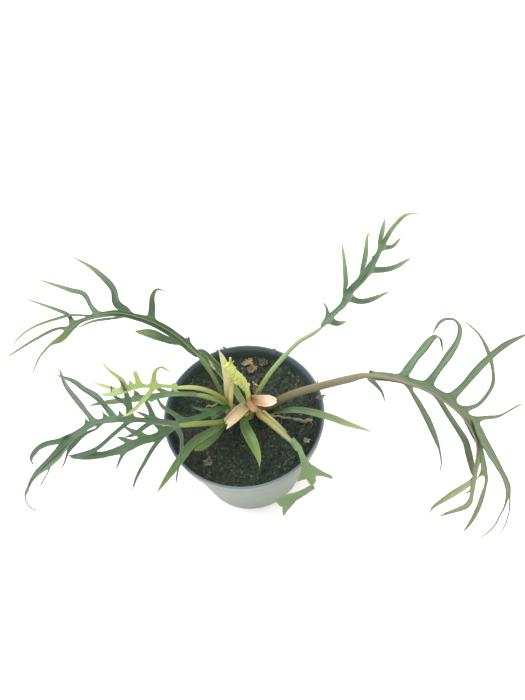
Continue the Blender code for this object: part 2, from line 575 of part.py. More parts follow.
def petiole_stops(leaf):
    """The petiole and the ridge it makes under the blade's first part, with their radii."""
    thick, thin = leaf["girth"]
    rachis = [point[:3] for point in leaf["rachis"]]
    stem = leaf["petiole"] + rachis[:1]
    count = max(4, ceil(length_of(stem) / PETIOLE_STEP) + 1)
    stops = []
    for index, place in enumerate(through(stem, count)):
        stops.append((*place, thick + (thin - thick) * index / (count - 1)))
    ridge = through(rachis, RIDGE_SAMPLES)
    reach = min(1.0, PETIOLE_REACH / length_of(rachis))
    for share, thinning in RIDGE_TAPER:
        stops.append((*ridge[round(share * reach * (RIDGE_SAMPLES - 1))], thin * thinning))
    return stops


def make_leaf(name, leaf, home, cutters):
    """A divided leaf: its lobed blade joined to its petiole, cut clear of its shoot."""
    blade = object_from_bmesh(name, blade_mesh(leaf["rachis"], leaf["lobes"]), home, leaf["colour"])
    thicken(blade)
    petiole = as_cutter(tube(name + "_petiole", petiole_stops(leaf), cutters))
    add_boolean(blade, "UNION", petiole)
    add_boolean(blade, "DIFFERENCE", bpy.data.objects[leaf["shoot"] + "_clearance"])
    return blade


def make_strap(name, strap, home):
    """An undivided leaf or a papery scale, cut clear of its shoot."""
    made = object_from_bmesh(name, blade_mesh(strap["path"]), home, strap["colour"])
    thicken(made)
    add_boolean(made, "DIFFERENCE", bpy.data.objects[strap["shoot"] + "_clearance"])
    return made


def make_roll(name, roll, home, cutters):
    """A rolled leaf or sheath, with the tips of its lobes standing out of the roll."""
    line = through(roll["stops"], ROLL_STOPS)
    made = tube(name, [(*place.xyz, max(LEAST_RADIUS, place.w)) for place in line], home, roll["colour"])
    for number, finger in enumerate(roll["fingers"]):
        line = through(finger, len(FINGER_RADII))
        stops = [(*place, radius) for place, radius in zip(line, FINGER_RADII)]
        tip = tube(f"{name}_finger_{number}", stops, cutters)
        add_boolean(made, "UNION", as_cutter(tip))
    return made


def wall_radius(height):
    """The pot wall's outer radius below the rim band."""
    under_band = POT_RIM_RADIUS - RIM_STEP - RIM_LEAN
    return POT_BASE_RADIUS + (under_band - POT_BASE_RADIUS) * height / (POT_HEIGHT - RIM_BAND)


def make_pot(home, cutters):
    """The nursery pot: a tapered wall with a stepped rim band, and drain holes in its floor."""
    band_low = POT_HEIGHT - RIM_BAND
    band_radius = POT_RIM_RADIUS - RIM_LEAN
    under_band = wall_radius(band_low)
    profile = [
        (0, POT_FLOOR),
        (wall_radius(POT_FLOOR) - POT_WALL - FOOT_ROUND, POT_FLOOR),
        (wall_radius(POT_FLOOR) - POT_WALL, POT_FLOOR + FOOT_ROUND),
        (under_band - POT_WALL, band_low),
        (band_radius - POT_WALL, band_low + RIM_STEP),
        (POT_RIM_RADIUS - POT_WALL, POT_HEIGHT - LIP_ROUND),
        (POT_RIM_RADIUS - POT_WALL + LIP_ROUND, POT_HEIGHT),
        (POT_RIM_RADIUS - LIP_ROUND, POT_HEIGHT),
        (POT_RIM_RADIUS, POT_HEIGHT - LIP_ROUND),
        (band_radius, band_low),
        (under_band, band_low - RIM_STEP / 2),
        (wall_radius(FOOT_ROUND), FOOT_ROUND),
        (POT_BASE_RADIUS - FOOT_ROUND, 0),
        (0, 0),
    ]
    pot = turned("pot", profile, TURN_STEPS, home, "outer_plastic")
    bm = bmesh.new()
    for hole in range(DRAIN_HOLES):
        angle = 2 * pi * hole / DRAIN_HOLES
        cylinder(bm, DRAIN_CIRCLE_RADIUS * cos(angle), DRAIN_CIRCLE_RADIUS * sin(angle),
                 DRAIN_HOLE_RADIUS, -1, POT_FLOOR + 1, DRAIN_HOLE_STEPS)
    add_boolean(pot, "DIFFERENCE", as_cutter(object_from_bmesh("drain_holes", bm, cutters)))
    return pot


def soil_height(x, y):
    """The mix's uneven surface."""
    waves = sin(x / 5.3 + 0.7) * cos(y / 6.1) + 0.6 * sin(x / 2.9 - y / 3.7) + 0.5 * cos(y / 8.3 + x / 9.1)
    return SOIL_TOP + SOIL_ROUGHNESS * waves


def make_soil(home, cutters):
    """The potting mix: a plug that fills the pot, with an uneven top and a hole for each shoot."""
    edge_height = SOIL_TOP - SOIL_EDGE_DROP
    edge = wall_radius(edge_height) - POT_WALL - GAP
    foot_height = POT_FLOOR + GAP
    foot = wall_radius(foot_height) - POT_WALL - GAP
    rings = [(edge * ring / SOIL_RINGS, SOIL_TOP) for ring in range(SOIL_RINGS)]
    profile = [*rings, (edge, edge_height), (foot, foot_height + FOOT_ROUND),
               (foot - FOOT_ROUND, foot_height), (0, foot_height)]
    guide = turned("soil_turned", profile, TURN_STEPS, home)
    bpy.context.view_layer.update()
    mesh = baked_mesh(guide)
    mesh.name = "soil"
    for vertex in mesh.vertices:
        x, y, z = vertex.co / MM
        if z > SOIL_TOP - 0.1:
            vertex.co.z = soil_height(x, y) * MM
    soil = add_object("soil", mesh, home, "soil")
    bpy.data.objects.remove(guide, do_unlink=True)
    for name, shoot in SHOOTS.items():
        bm = bmesh.new()
        cylinder(bm, *shoot["place"], shoot["radius"] + GAP, SHOOT_FOOT - GAP, SOIL_TOP + 10, SHOOT_STEPS)
        add_boolean(soil, "DIFFERENCE", as_cutter(object_from_bmesh(name + "_hole", bm, cutters)))
    return soil


def make_shoot(name, shoot, home, cutters):
    """A short shoot with leaf scars, and the clearance that its leaves are cut by."""
    x, y = shoot["place"]
    radius, top = shoot["radius"], shoot["top"]
    waist = radius * SHOOT_WAIST
    profile = [(0, top), (radius * 0.7, top), (waist, top - SCAR_HALF_HEIGHT)]
    scars = int((top - SOIL_TOP) // SHOOT_NODE)
    for scar in range(1, scars + 1):
        height = top - scar * SHOOT_NODE
        profile += [(waist, height + SCAR_HALF_HEIGHT), (radius, height), (waist, height - SCAR_HALF_HEIGHT)]
    profile += [(waist * 0.9, SHOOT_FOOT + 2), (waist * 0.5, SHOOT_FOOT), (0, SHOOT_FOOT)]
    made = turned(name, profile, SHOOT_STEPS, home, "shoot")
    made.location = (x * MM, y * MM, 0)
    bm = bmesh.new()
    cylinder(bm, x, y, radius + GAP, SHOOT_FOOT - 5, top + GAP, SHOOT_STEPS)
    as_cutter(object_from_bmesh(name + "_clearance", bm, cutters))
    return made


def soil_surface(soil):
    return BVHTree.FromObject(soil, bpy.context.evaluated_depsgraph_get())


def height_on(surface, x, y):
    """The height of the surface's facets at a place in plan."""
    spot = surface.ray_cast(Vector((x, y, 2 * SOIL_TOP)) * MM, -UP)[0]
    return spot.z / MM


def make_scrap(name, scrap, home, surface):
    """A dry flake that follows the mix's surface, with curled edges."""
    (ax, ay), (bx, by) = scrap["ends"]
    width = scrap["width"]
    middle = ((ax + bx) / 2, (ay + by) / 2, 0, width)
    bm = blade_mesh([(ax, ay, 0, width / 2), middle, (bx, by, 0, width / 2)])
    along = Vector((bx - ax, by - ay, 0)).normalized()
    for vertex in bm.verts:
        off_line = abs((vertex.co - Vector((ax, ay, 0))).cross(along).length)
        curl = FLAKE_CURL * (2 * off_line / width) ** 2
        vertex.co.z = height_on(surface, vertex.co.x, vertex.co.y) + SCRAP_LIFT + curl
    made = object_from_bmesh(name, bm, home, "dry")
    thicken(made)
    return made


def make_root(home, surface):
    """An old root that lies on the mix."""
    line = through([(x, y, 0) for x, y in ROOT_PATH], ROOT_STOPS)
    stops = [(x, y, height_on(surface, x, y) + ROOT_LIFT, ROOT_RADIUS) for x, y, z in line]
    return tube("old_root", stops, home, "dry")


def build():
    clear_scene()
    home = make_collection("philodendron_tortum")
    cutters = make_collection("cutters")
    make_pot(home, cutters)
    surface = soil_surface(make_soil(home, cutters))
    for name, shoot in SHOOTS.items():
        make_shoot(name, shoot, home, cutters)
    for name, leaf in LEAVES.items():
        make_leaf(name, leaf, home, cutters)
    for name, strap in STRAPS.items():
        make_strap(name, strap, home)
    for name, roll in ROLLS.items():
        make_roll(name, roll, home, cutters)
    for name, scrap in SCRAPS.items():
        make_scrap(name, scrap, home, surface)
    make_root(home, surface)
    for thing in home.objects:
        smooth_shading(thing)


build()
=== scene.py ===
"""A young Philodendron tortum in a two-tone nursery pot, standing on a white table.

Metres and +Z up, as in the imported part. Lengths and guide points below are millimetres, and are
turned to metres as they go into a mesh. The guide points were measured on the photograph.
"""
import random
from math import ceil, cos, pi, radians, sin

import bmesh
import bpy
from mathutils import Matrix, Vector, noise
from mathutils.bvhtree import BVHTree


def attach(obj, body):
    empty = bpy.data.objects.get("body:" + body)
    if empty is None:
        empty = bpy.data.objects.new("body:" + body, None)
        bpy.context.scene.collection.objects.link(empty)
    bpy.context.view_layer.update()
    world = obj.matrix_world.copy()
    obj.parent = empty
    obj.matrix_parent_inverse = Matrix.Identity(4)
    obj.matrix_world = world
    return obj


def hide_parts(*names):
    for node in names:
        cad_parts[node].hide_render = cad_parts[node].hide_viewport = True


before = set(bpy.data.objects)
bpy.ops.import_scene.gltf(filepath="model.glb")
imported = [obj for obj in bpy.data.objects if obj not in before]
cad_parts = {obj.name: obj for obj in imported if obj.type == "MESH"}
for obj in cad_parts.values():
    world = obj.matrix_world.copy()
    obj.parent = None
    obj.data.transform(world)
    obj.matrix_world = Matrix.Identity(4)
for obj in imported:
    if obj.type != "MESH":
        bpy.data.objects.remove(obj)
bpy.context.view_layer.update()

MM = 0.001
UP = Vector((0, 0, 1))
NOISE_SEED = 1            # any number but 0, which stands for the clock

# Camera, worked out from the pot's rim and foot in the photograph
PHOTO_HEIGHT = 700        # pixels, the longer side
FOCAL_PIXELS = 520
SENSOR = 36.0
CAMERA_PLACE = (18.0, -187.8, 434.7)
CAMERA_PITCH, CAMERA_YAW, CAMERA_ROLL = 54.84, -0.08, -4.86

# Table and light
TABLE_SIZE = 6000.0
TABLE_DROP = 0.2          # how far the table lies under the pot's foot
ROOM_LIGHT = 1.45
WINDOWS = (((-1.3, 0.7, 1.6), 1.6, 40.0), ((1.3, -0.8, 1.5), 1.6, 7.0))   # place, size in metres, watts

# Pot
POT_HEIGHT = 92.0
POT_RIM_RADIUS = 60.0
POT_BASE_RADIUS = 44.0
POT_WALL = 1.5
POT_FLOOR = 2.2
RIM_BAND = 11.0           # height of the rim band
RIM_STEP = 2.0            # how far the band stands proud of the wall
RIM_LEAN = 0.8
POT_MIDDLE = 30.0         # height of the one ring half way up the wall
POT_SIDES = 128
DRAIN_HOLES = 8
DRAIN_HOLE_RADIUS = 4.0
DRAIN_CIRCLE_RADIUS = 31.0

# Potting mix
SOIL_TOP = 82.0
SOIL_ROUGHNESS = 0.8
SOIL_SIDES = 240
SOIL_RING_STEP = 0.8
SOIL_BANK = 3.0           # width of the strip along the wall where the mix is piled up
CRUMB_REACH = 54.5        # radius in which crumbs lie
CRUMBS = 1500
MOSS_SPRIGS = 520
CHAFF = 620
MOSS_LEAFLET = [(0, 0, -0.2), (0.25, -0.28, 0.45), (0.75, 0, 0.9), (0.25, 0.28, 0.45)]
MOSS_THICKNESS = 0.12
FLAKE_THICKNESS = 0.35
FIBRE_RADIUS = 0.42
SHEATH_STEP = 4.6         # spacing of the old sheaths round a shoot
ROOT_STOPS = 22
SIDE_ROOTS = (6, 11, 16, 19)        # the stops of the old root where a side root starts

# Blades
BLADE_THICKNESS = 0.5
ROOT_STEP = 5.0           # spacing of a blade's cross rows, and the width of a lobe's root
LOBE_STEP = 4.5           # spacing of the rows along a lobe
BLUNT_TIP = 1.9           # a tip wider than this ends torn off
LOBE_START = 0.6          # share of the parent's way along that a lobe starts with
CURVE_DIVISIONS = 16
LENGTH_STOPS = 40
STEM_SIDES = 12
STEM_STEP = 3.0
PETIOLE_FOOT = (1.5, 1.15)   # how much a petiole thickens into its sheath at its first two stops
MIDRIB_STOPS = 8
LEAST_MIDRIB = 0.2        # radius
PLAIN_RIB = (0.0, -1.2, 0.8)   # how far a midrib lies aside and above, and its stoutness
NEW_LEAF_FOLDS = 72
FOLD_ANGLES = (0.0, 1.9, 0.9, 2.6, 0.4, 1.4, 3.0, 2.2)   # where each fold lies round the roll
RUFFLES = (7, 2.5)        # length of the long and the short waves of a blade
FISHTAIL_MARGIN = 2.5     # width of the front leaf's pale margin
SCALE_COLUMNS = 7
SCALE_THICKNESS = 0.4
KEEL = (0.3, 0.55 * pi, 0.5)        # height of the spear's keel, its angle round the spear, and half width
CREASE = (0.15, 0.3 * pi, 0.3)

SHOOTS = {
    "shoot_left": {"place": (-9, 3), "radius": 5.0, "top": 94.0},
    "shoot_middle": {"place": (3, 1), "radius": 4.4, "top": 98.0},
    "shoot_right": {"place": (13, 2), "radius": 4.2, "top": 92.0},
}

# The way in which the flat sides of the lobes that hang at a leaf's end are turned
RIGHT_LOBES_FACE = (-0.28, -0.54, 0.8)
LEFT_LOBES_FACE = (0.38, -0.4, 0.83)


def lobe(*path, lobes=(), under=False, facing=None):
    """One lobe of a blade, with its own lobes; under folds it beneath from the blade's other edge.

    Its flat side is turned like the blade's, or the way that facing says.
    """
    return {"path": path, "lobes": lobes, "under": under, "facing": facing}


# A petiole runs from inside its shoot to the foot of the blade, and the rachis from there to
# the blade's own tip. A lobe springs from the rachis at the place nearest its first point.
# Blade points are (x, y, z, width). Girth is the petiole's radius at its foot and at the blade.
LEAVES = {}

LEAVES["leaf_upper_left"] = dict(
    slot="dark_leaf", blade="deep_green", stem="green_petiole", fold=0.4, girth=(1.75, 1.5),
    rib=(0, -0.1, 0.55),
    petiole=[(-9, 3, 88), (-12.9, 8, 95), (-16.7, 12.9, 107.5), (-19.7, 15.7, 119), (-22.8, 18.4, 127.5),
             (-25.5, 20.1, 133.5)],
    rachis=[(-27.2, 21.3, 137, 4.4), (-30.2, 23, 141, 6), (-33.9, 25.3, 145, 6.6), (-38, 28.1, 149, 5.9),
            (-46, 31, 157.5, 6.2), (-54.8, 31.8, 166.2, 5.5), (-64.7, 33.6, 171.5, 5),
            (-78, 34.4, 175.3, 4.6), (-92.8, 33.4, 173.6, 2.7), (-103.3, 33.5, 169.4, 3.9),
            (-115, 29, 161, 5.9), (-126.2, 30.3, 153.2, 2.1), (-138.4, 27.3, 142.2, 1.6),
            (-147, 22.1, 130.3, 0.8)],
    lobes=[
        lobe((-34, 29, 147, 2), (-31.8, 31.2, 149.2, 0.8)),
        lobe((-53, 32, 166, 5.5), (-53.3, 41, 171, 4.7), (-53.4, 49.7, 171.9, 3.4),
             (-50.1, 56.6, 171.4, 1.4), (-45, 56.8, 165.9, 0.8)),
        lobe((-70, 35, 173, 8), (-75.8, 41, 177, 5.4), (-77.6, 51.1, 178.1, 4.3), (-84.2, 62.8, 175.8, 5),
             (-99, 83, 170, 3.5), (-119.2, 105.7, 160.5, 0.8)),
        lobe((-89, 36, 174, 5.5), (-92.8, 41.1, 176.1, 2.8), (-99, 53, 176, 3.4),
             (-110.9, 61.2, 172.2, 3.4), (-143.3, 89.2, 156.2, 0.8)),
        lobe((-95, 36, 174, 2), (-103, 37.2, 173.2, 1.3), (-111, 39, 171, 2), (-131.3, 40.4, 163.3, 1.7),
             (-144.8, 43.2, 154, 1.4), (-154.4, 42.1, 147, 1.1), (-160.1, 39.4, 141, 0.8)),
        lobe((-105, 34, 169, 3.5), (-109.1, 39.9, 170, 2.7), (-118.5, 48.2, 166.4, 2.5),
             (-155.1, 78.9, 147.9, 0.8)),
        lobe((-108, 33, 166, 2.5), (-119.1, 35.9, 162.6, 1.9), (-127.9, 35.8, 158.8, 2.2),
             (-146.7, 34.6, 148.7, 1.8), (-165.1, 33.8, 137.1, 0.8)),
        lobe((-39, 25, 150, 5.5), (-47, 23.8, 156.8, 5.5), (-54.9, 24.4, 163.3, 6.7),
             (-66.2, 27.4, 163.3, 1.5)),
        lobe((-67, 32, 171, 1.5), (-77, 36.1, 168.1, 1.5), (-86, 38.3, 165.2, 1.9), (-97, 40.8, 160.9, 1.6),
             (-110, 41.9, 153.9, 0.8), under=True)])

LEAVES["leaf_upper_right"] = dict(
    slot="mid_leaf", blade="grey_green", stem="light_petiole", fold=0.4, girth=(1.9, 1.3),
    petiole=[(6, 3.5, 86), (9.9, 7.2, 98), (19.3, 11.1, 118), (32.3, 15.3, 136.5), (42.7, 19, 147),
             (49.3, 20.5, 150.5), (54.3, 21.2, 153.8)],
    rachis=[(58.1, 23, 157, 3.4), (62.1, 25.1, 160.5, 3.7), (67.5, 28.4, 164.5, 3.7),
            (73.5, 30.8, 168.2, 4.8), (77.5, 36.3, 174.2, 5.5), (87.3, 44.1, 177.3, 6),
            (94.6, 52.6, 180.8, 5.5), (100.2, 60.3, 182.5, 3.7), (110.4, 76.8, 183.8, 3.6),
            (119.8, 90.3, 181.5, 3.6), (129.9, 102.1, 178.1, 3.4), (143.1, 109.1, 172.1, 0.8)],
    lobes=[
        lobe((63, 27, 161, 3.5), (63, 31, 166, 1.6), (59.4, 35.7, 168.5, 0.8)),
        lobe((75, 33, 173, 5), (75.5, 39, 178, 4), (76.3, 50, 183, 3.6), (77.6, 72.2, 184.9, 0.8)),
        lobe((87, 47, 178, 5.5), (90.2, 55, 182, 3.8), (93.1, 65.1, 184.1, 3), (96, 76.9, 186, 1.4),
             (99.7, 78.8, 185, 0.8)),
        lobe((104, 67, 184, 4), (105.5, 76.1, 187, 3.5), (110.2, 89.5, 188, 0.8)),
        lobe((64, 26, 160, 4), (69.1, 22.7, 158.4, 4), (76.7, 28.5, 153.3, 0.8)),
        lobe((77, 31, 173, 5), (83, 30.1, 171.1, 3.8), (92.8, 33.8, 167.6, 3.7), (109.5, 47.6, 158.5, 0.8)),
        lobe((92, 49, 180, 4.5), (100, 50.5, 177.7, 5), (111, 54.1, 175.1, 4.4), (128.9, 71.4, 165.3, 0.8)),
        lobe((104, 64, 184, 4), (111.7, 67.5, 181.4, 3.1), (121.7, 81, 176.7, 0.8)),
        lobe((97.7, 56.6, 182, 2.3), (96.2, 57.4, 183, 1.5), (95.4, 58.9, 183.5, 0.8))])

LEAVES["leaf_right"] = dict(
    slot="mid_leaf", blade="ageing_green", stem="brown_petiole", under="ageing_underside", fold=0.5,
    girth=(3.3, 2.3), rib=(-2.6, 0.1, 0.6), paler=0.1,
    petiole=[(13, 2, 86), (18, 0.4, 93), (34, -3.7, 115), (55, -11, 137), (71, -19, 156)],
    rachis=[(79.9, -23.3, 164.8, 5.9), (89, -27.9, 170.1, 6.3), (97, -34, 175, 5),
            (105.8, -39.3, 176.7, 5.4), (114, -45.1, 176.9, 4.4), (120.7, -49.3, 173.8, 4.5),
            (126.8, -54.3, 169.4, 3.5), (130.7, -57.1, 166, 4.1), (134.3, -61.2, 161, 4),
            (136.9, -65.4, 155.5, 3.7), (138.7, -69.1, 149.5, 4.5), (138.5, -72.9, 144, 5.5),
            (137.6, -76.7, 138.5, 4.9), (136.8, -81, 131.8, 4.3), (136.7, -83.8, 127.5, 4.7),
            (136.1, -87.2, 122.5, 3.5), (135, -90.2, 119, 7.9), (132.8, -92.8, 116.5, 9.7),
            (128.1, -92.8, 114.5, 6.3), (122.3, -93.9, 112, 3.7), (117.3, -94.6, 110, 1.4)],
    lobes=[
        lobe((80.5, -21.9, 164, 1.5), (81.4, -21, 166.5, 0.9), (81.8, -20.6, 167.5, 0.8)),
        lobe((82, -24, 166, 3.5), (84.6, -29.2, 162.9, 2.3), (88.4, -31.9, 158.1, 1.6),
             (89.4, -36.5, 153.6, 0.8)),
        lobe((97, -32, 176, 7), (102.1, -28.1, 181.9, 5.1), (108.4, -23.3, 187.8, 5.6),
             (112.4, -20.3, 191.8, 5.3), (116, -17.9, 194.1, 3.4), (120, -17.7, 190.2, 2.7),
             (121.7, -22.7, 183.6, 0.8)),
        lobe((109, -40, 178, 6), (114.2, -36.1, 183.9, 3.4), (120.3, -31.2, 191.9, 4.3),
             (125.8, -25.3, 196.8, 2.9), (128.6, -19, 199, 2.4), (128, -13, 200, 0.9),
             (124, -10.3, 198.8, 1.7), (120, -10, 196, 2.2), (117, -13, 188, 0.8)),
        lobe((122, -49, 175, 5.5), (128.1, -44.1, 178.9, 3.5), (136.1, -38.1, 186, 4.1),
             (146, -31, 189, 3.5), (156, -25, 190, 3.1), (172.7, -16.4, 185.7, 0.8)),
        lobe((129, -54, 170, 3.5), (136.7, -51.9, 169.4, 2), (142.5, -47.5, 172.7, 1.8),
             (147, -42, 176, 2.1), (148.4, -35, 178, 1.5), (148.9, -25, 180, 2.5), (147.1, -11, 181, 1.1),
             (142.6, 1.6, 178.7, 0.8)),
        lobe((130.1, -55.2, 168, 3.5), (133.2, -58.1, 165, 4.6), (136.9, -61.9, 160, 5.8),
             (139.6, -65.4, 155, 6.5), (142.2, -68.6, 151, 6.1), (145.6, -71.9, 146, 5.6),
             (149.7, -76.1, 140, 4.7), (153.4, -80.4, 134, 3.9), (156.6, -84, 128.5, 4.9),
             (158, -87.5, 122.5, 6), (157.7, -90.7, 117.5, 3.1), (156.2, -94.1, 112.5, 1.8),
             (154, -97.7, 107, 1.5), (151.6, -101.1, 101.5, 1.5), (148.5, -103.3, 97, 1.3),
             (143.8, -105.4, 93, 1.2),
             lobes=[
                 lobe((135.5, -59.8, 163, 2.4), (138.8, -57.2, 163.5, 2.5), (142.1, -56.7, 163.5, 2.3),
                      (146.6, -56.9, 163, 1.9), (151.3, -55.7, 162, 1.2), (155.5, -53.5, 161, 0.9),
                      (161.9, -50.3, 160, 0.8), (168.9, -46.7, 158, 0.8)),
                 lobe((158.7, -89.5, 120, 1.4), (160.1, -93.8, 112.5, 0.8), (159.3, -98.5, 106, 0.8),
                      (157.8, -101.9, 101, 0.8), (155.5, -104.1, 97, 0.8))]),
        lobe((98, -36, 175, 1.7), (101.4, -39.7, 171, 2.3), (105.1, -44.9, 166.5, 2.8),
             (109.4, -50.6, 160, 3.4), (113.3, -55.3, 152.5, 3.4), (117, -59.7, 144, 2.6),
             (120, -62.9, 136, 1.1), (121.7, -65.9, 129, 0.9), (122.5, -67.9, 123.5, 0.8),
             (122.2, -69.8, 118, 0.8), facing=RIGHT_LOBES_FACE),
        lobe((112.8, -44.8, 176.5, 1.9), (115.3, -48.9, 173, 2.6), (119.4, -52.7, 167, 2.9),
             (124.2, -56.5, 160, 3), (129, -59.4, 152.5, 3.3), (133.3, -61.9, 145.5, 3.8),
             (135.8, -65, 139, 4), (138.1, -69.4, 131.5, 4.1), (140, -73.5, 125.5, 3.2),
             (141.7, -77.2, 120, 0.8), facing=RIGHT_LOBES_FACE),
        lobe((126.6, -52.7, 168, 1.6), (129.4, -56.6, 164, 1.9), (132.9, -61.4, 158.5, 1.9),
             (136.2, -66, 153, 1.8), (138.5, -69.1, 149, 0.8), facing=RIGHT_LOBES_FACE),
        lobe((139.2, -68.5, 149.5, 1.9), (140.9, -72.6, 143, 2.6), (142.7, -76.5, 137, 3.1),
             (144, -79.4, 132.3, 1.9), (144.9, -81.7, 129, 2), (144.5, -83.2, 126.7, 1.3),
             (143.5, -86.4, 122, 2.3), (142.3, -89.7, 117.5, 2.6), (140.2, -94, 111.5, 2.6),
             (137.7, -97.6, 106, 2.1), (135, -100.5, 101, 1.3), (132.9, -102, 97.5, 0.8),
             facing=RIGHT_LOBES_FACE,
             lobes=[
                 lobe((141.9, -77.3, 134.5, 1.4), (140.6, -78.8, 131, 1), (139.3, -79.9, 128, 0.8),
                      facing=RIGHT_LOBES_FACE)]),
        lobe((136.2, -81.4, 131.5, 2.8), (133.2, -82.8, 129, 3.4), (129.8, -83.8, 125, 3.7),
             (126.3, -84.5, 120, 3.7), (122.9, -85.6, 115.5, 3.1), (119.3, -86.6, 111, 2.4),
             (116.1, -87.6, 107.5, 1.5), (113.8, -89.1, 106.2, 0.9), (112.9, -90.1, 105.6, 0.8),
             (113.9, -90.9, 105, 0.8), facing=RIGHT_LOBES_FACE),
        lobe((135.5, -84.7, 127, 1.1), (134.6, -86, 124.8, 1), (132.7, -86.5, 123.5, 0.9),
             (131.1, -86, 123, 0.8), facing=RIGHT_LOBES_FACE)])

LEAVES["leaf_left"] = dict(
    slot="dark_leaf", blade="left_green", stem="lime_petiole", fold=0.35, girth=(2.05, 1.9),
    petiole=[(-9, 3, 89), (-9.2, -6, 94.5), (-15.4, -13.6, 103), (-24.1, -19.3, 113.5),
             (-32.3, -23.8, 122.5)],
    rachis=[(-41, -27, 130, 3.5), (-51.4, -26.4, 135.3, 3.3), (-62.9, -27.3, 140.6, 3.4),
            (-74, -26.7, 142.3, 3.3), (-83.7, -26.5, 142.3, 3.6), (-93.3, -25.9, 139.3, 3.9),
            (-101.6, -27.9, 136, 5.1), (-108.4, -29.7, 132.5, 5.9), (-113.9, -31.6, 129, 8.2),
            (-118.9, -34.6, 125, 11), (-124.1, -37.3, 120.5, 10), (-131.3, -39.6, 114.5, 8.2),
            (-138.8, -41.4, 108.5, 6.2), (-145.6, -43.6, 102.5, 5.4), (-149.7, -46.4, 97.5, 3.7),
            (-153.1, -49.9, 93, 3.6), (-155.6, -52.3, 89.5, 1.9), (-154.3, -55.8, 87, 1.6),
            (-151.3, -58.9, 85, 1.4), (-148.1, -60.4, 84, 1.3)],
    lobes=[
        lobe((-55, -25, 138, 4.1), (-58.9, -18.2, 137, 3.3), (-61.7, -12.1, 136, 3.1),
             (-65, -5.3, 134.5, 0.8)),
        lobe((-68.4, -24.9, 141, 5), (-70, -20.6, 146, 4.3), (-70.3, -18.6, 149.5, 4),
             (-70.1, -16.1, 153, 3.4), (-70.4, -14.3, 158, 2.2), (-71.1, -12.5, 161, 1.6),
             (-72.1, -10.7, 163, 1), (-73.2, -9.2, 164, 0.8),
             lobes=[
                 lobe((-71.6, -19.9, 149, 3.2), (-75, -17.3, 150, 2.7), (-78.4, -14.6, 150.3, 2.1),
                      (-80.6, -13.1, 150.5, 1.8), (-79.7, -12.4, 156, 1.4), (-79.1, -10, 159, 0.8))]),
        lobe((-77, -25, 142, 2), (-78.1, -19.4, 143.4, 0.8)),
        lobe((-81, -25, 142, 6), (-85.8, -17.9, 144.1, 3.2), (-92.8, -9.9, 146.1, 4.2),
             (-102.3, -2.3, 143.7, 3.5), (-112.9, 8.1, 139.1, 3.2), (-128.9, 19.4, 131.3, 0.8)),
        lobe((-87, -24, 142, 2), (-89.1, -19.7, 143.2, 0.8)),
        lobe((-95, -26, 140, 5), (-98.6, -19.8, 139.1, 3.2), (-109.8, -4.9, 133.1, 3.8),
             (-118.9, 7, 128, 3.4), (-127.5, 19.8, 120.9, 2.8), (-135.8, 36.3, 114.9, 0.8)),
        lobe((-98.4, -27.2, 137, 2.5), (-99.6, -24, 138, 2.2), (-100.9, -21.4, 138.5, 0.8)),
        lobe((-114.9, -30.5, 129.5, 3.3), (-119.2, -31.5, 129, 3.7), (-124.8, -31.5, 128, 3.7),
             (-130.9, -31.6, 126, 3.6), (-136.5, -32.3, 122.5, 3.4), (-140.8, -33.8, 118.5, 3.3),
             (-143.9, -35.6, 114.5, 2.6), (-144.3, -36.7, 112, 1.8), (-143.1, -38.1, 110, 1.1),
             facing=LEFT_LOBES_FACE),
        lobe((-40, -28, 130, 5.2), (-40, -33, 125, 2.8), (-41, -40, 119, 2.7), (-43, -45, 112, 2),
             (-46, -50, 105, 1.3), (-48, -55, 98, 0.8)),
        lobe((-57, -27, 137, 4), (-62.3, -29.6, 136.3, 3.2), (-67.7, -33.7, 134.5, 3.3),
             (-75.9, -34.4, 132.8, 0.8)),
        lobe((-70, -28, 141, 3.5), (-76.6, -31.4, 139.5, 2.7), (-84, -35.4, 136, 2.5),
             (-89.8, -38.5, 132.5, 2.6), (-94.3, -40, 130, 2.7), (-98.7, -40.6, 128, 2.9),
             (-104.5, -40.7, 126, 2.7), (-110.5, -40.5, 124, 2.1), (-115.8, -39.4, 122.5, 0.8),
             facing=LEFT_LOBES_FACE),
        lobe((-88.3, -27, 137.5, 1.9), (-92.9, -27.6, 135, 1.9), (-97.7, -27.4, 132, 2.2),
             (-102.9, -27.6, 129, 2.9), (-107.5, -28.7, 126, 3.6), (-111.9, -30.5, 122.5, 4.2),
             (-115.7, -32.7, 119.5, 3.7), (-118.3, -34.2, 116.5, 1.6), (-120.4, -36.9, 112.5, 1.2),
             (-122.9, -39.5, 109, 1), (-125.9, -41.4, 106, 0.8), facing=LEFT_LOBES_FACE),
        lobe((-127.4, -40.9, 115, 1.2), (-133.6, -44, 107.5, 0.8), (-139.1, -47.5, 101.5, 0.8),
             (-141.8, -49.9, 98.5, 0.9), facing=LEFT_LOBES_FACE)])

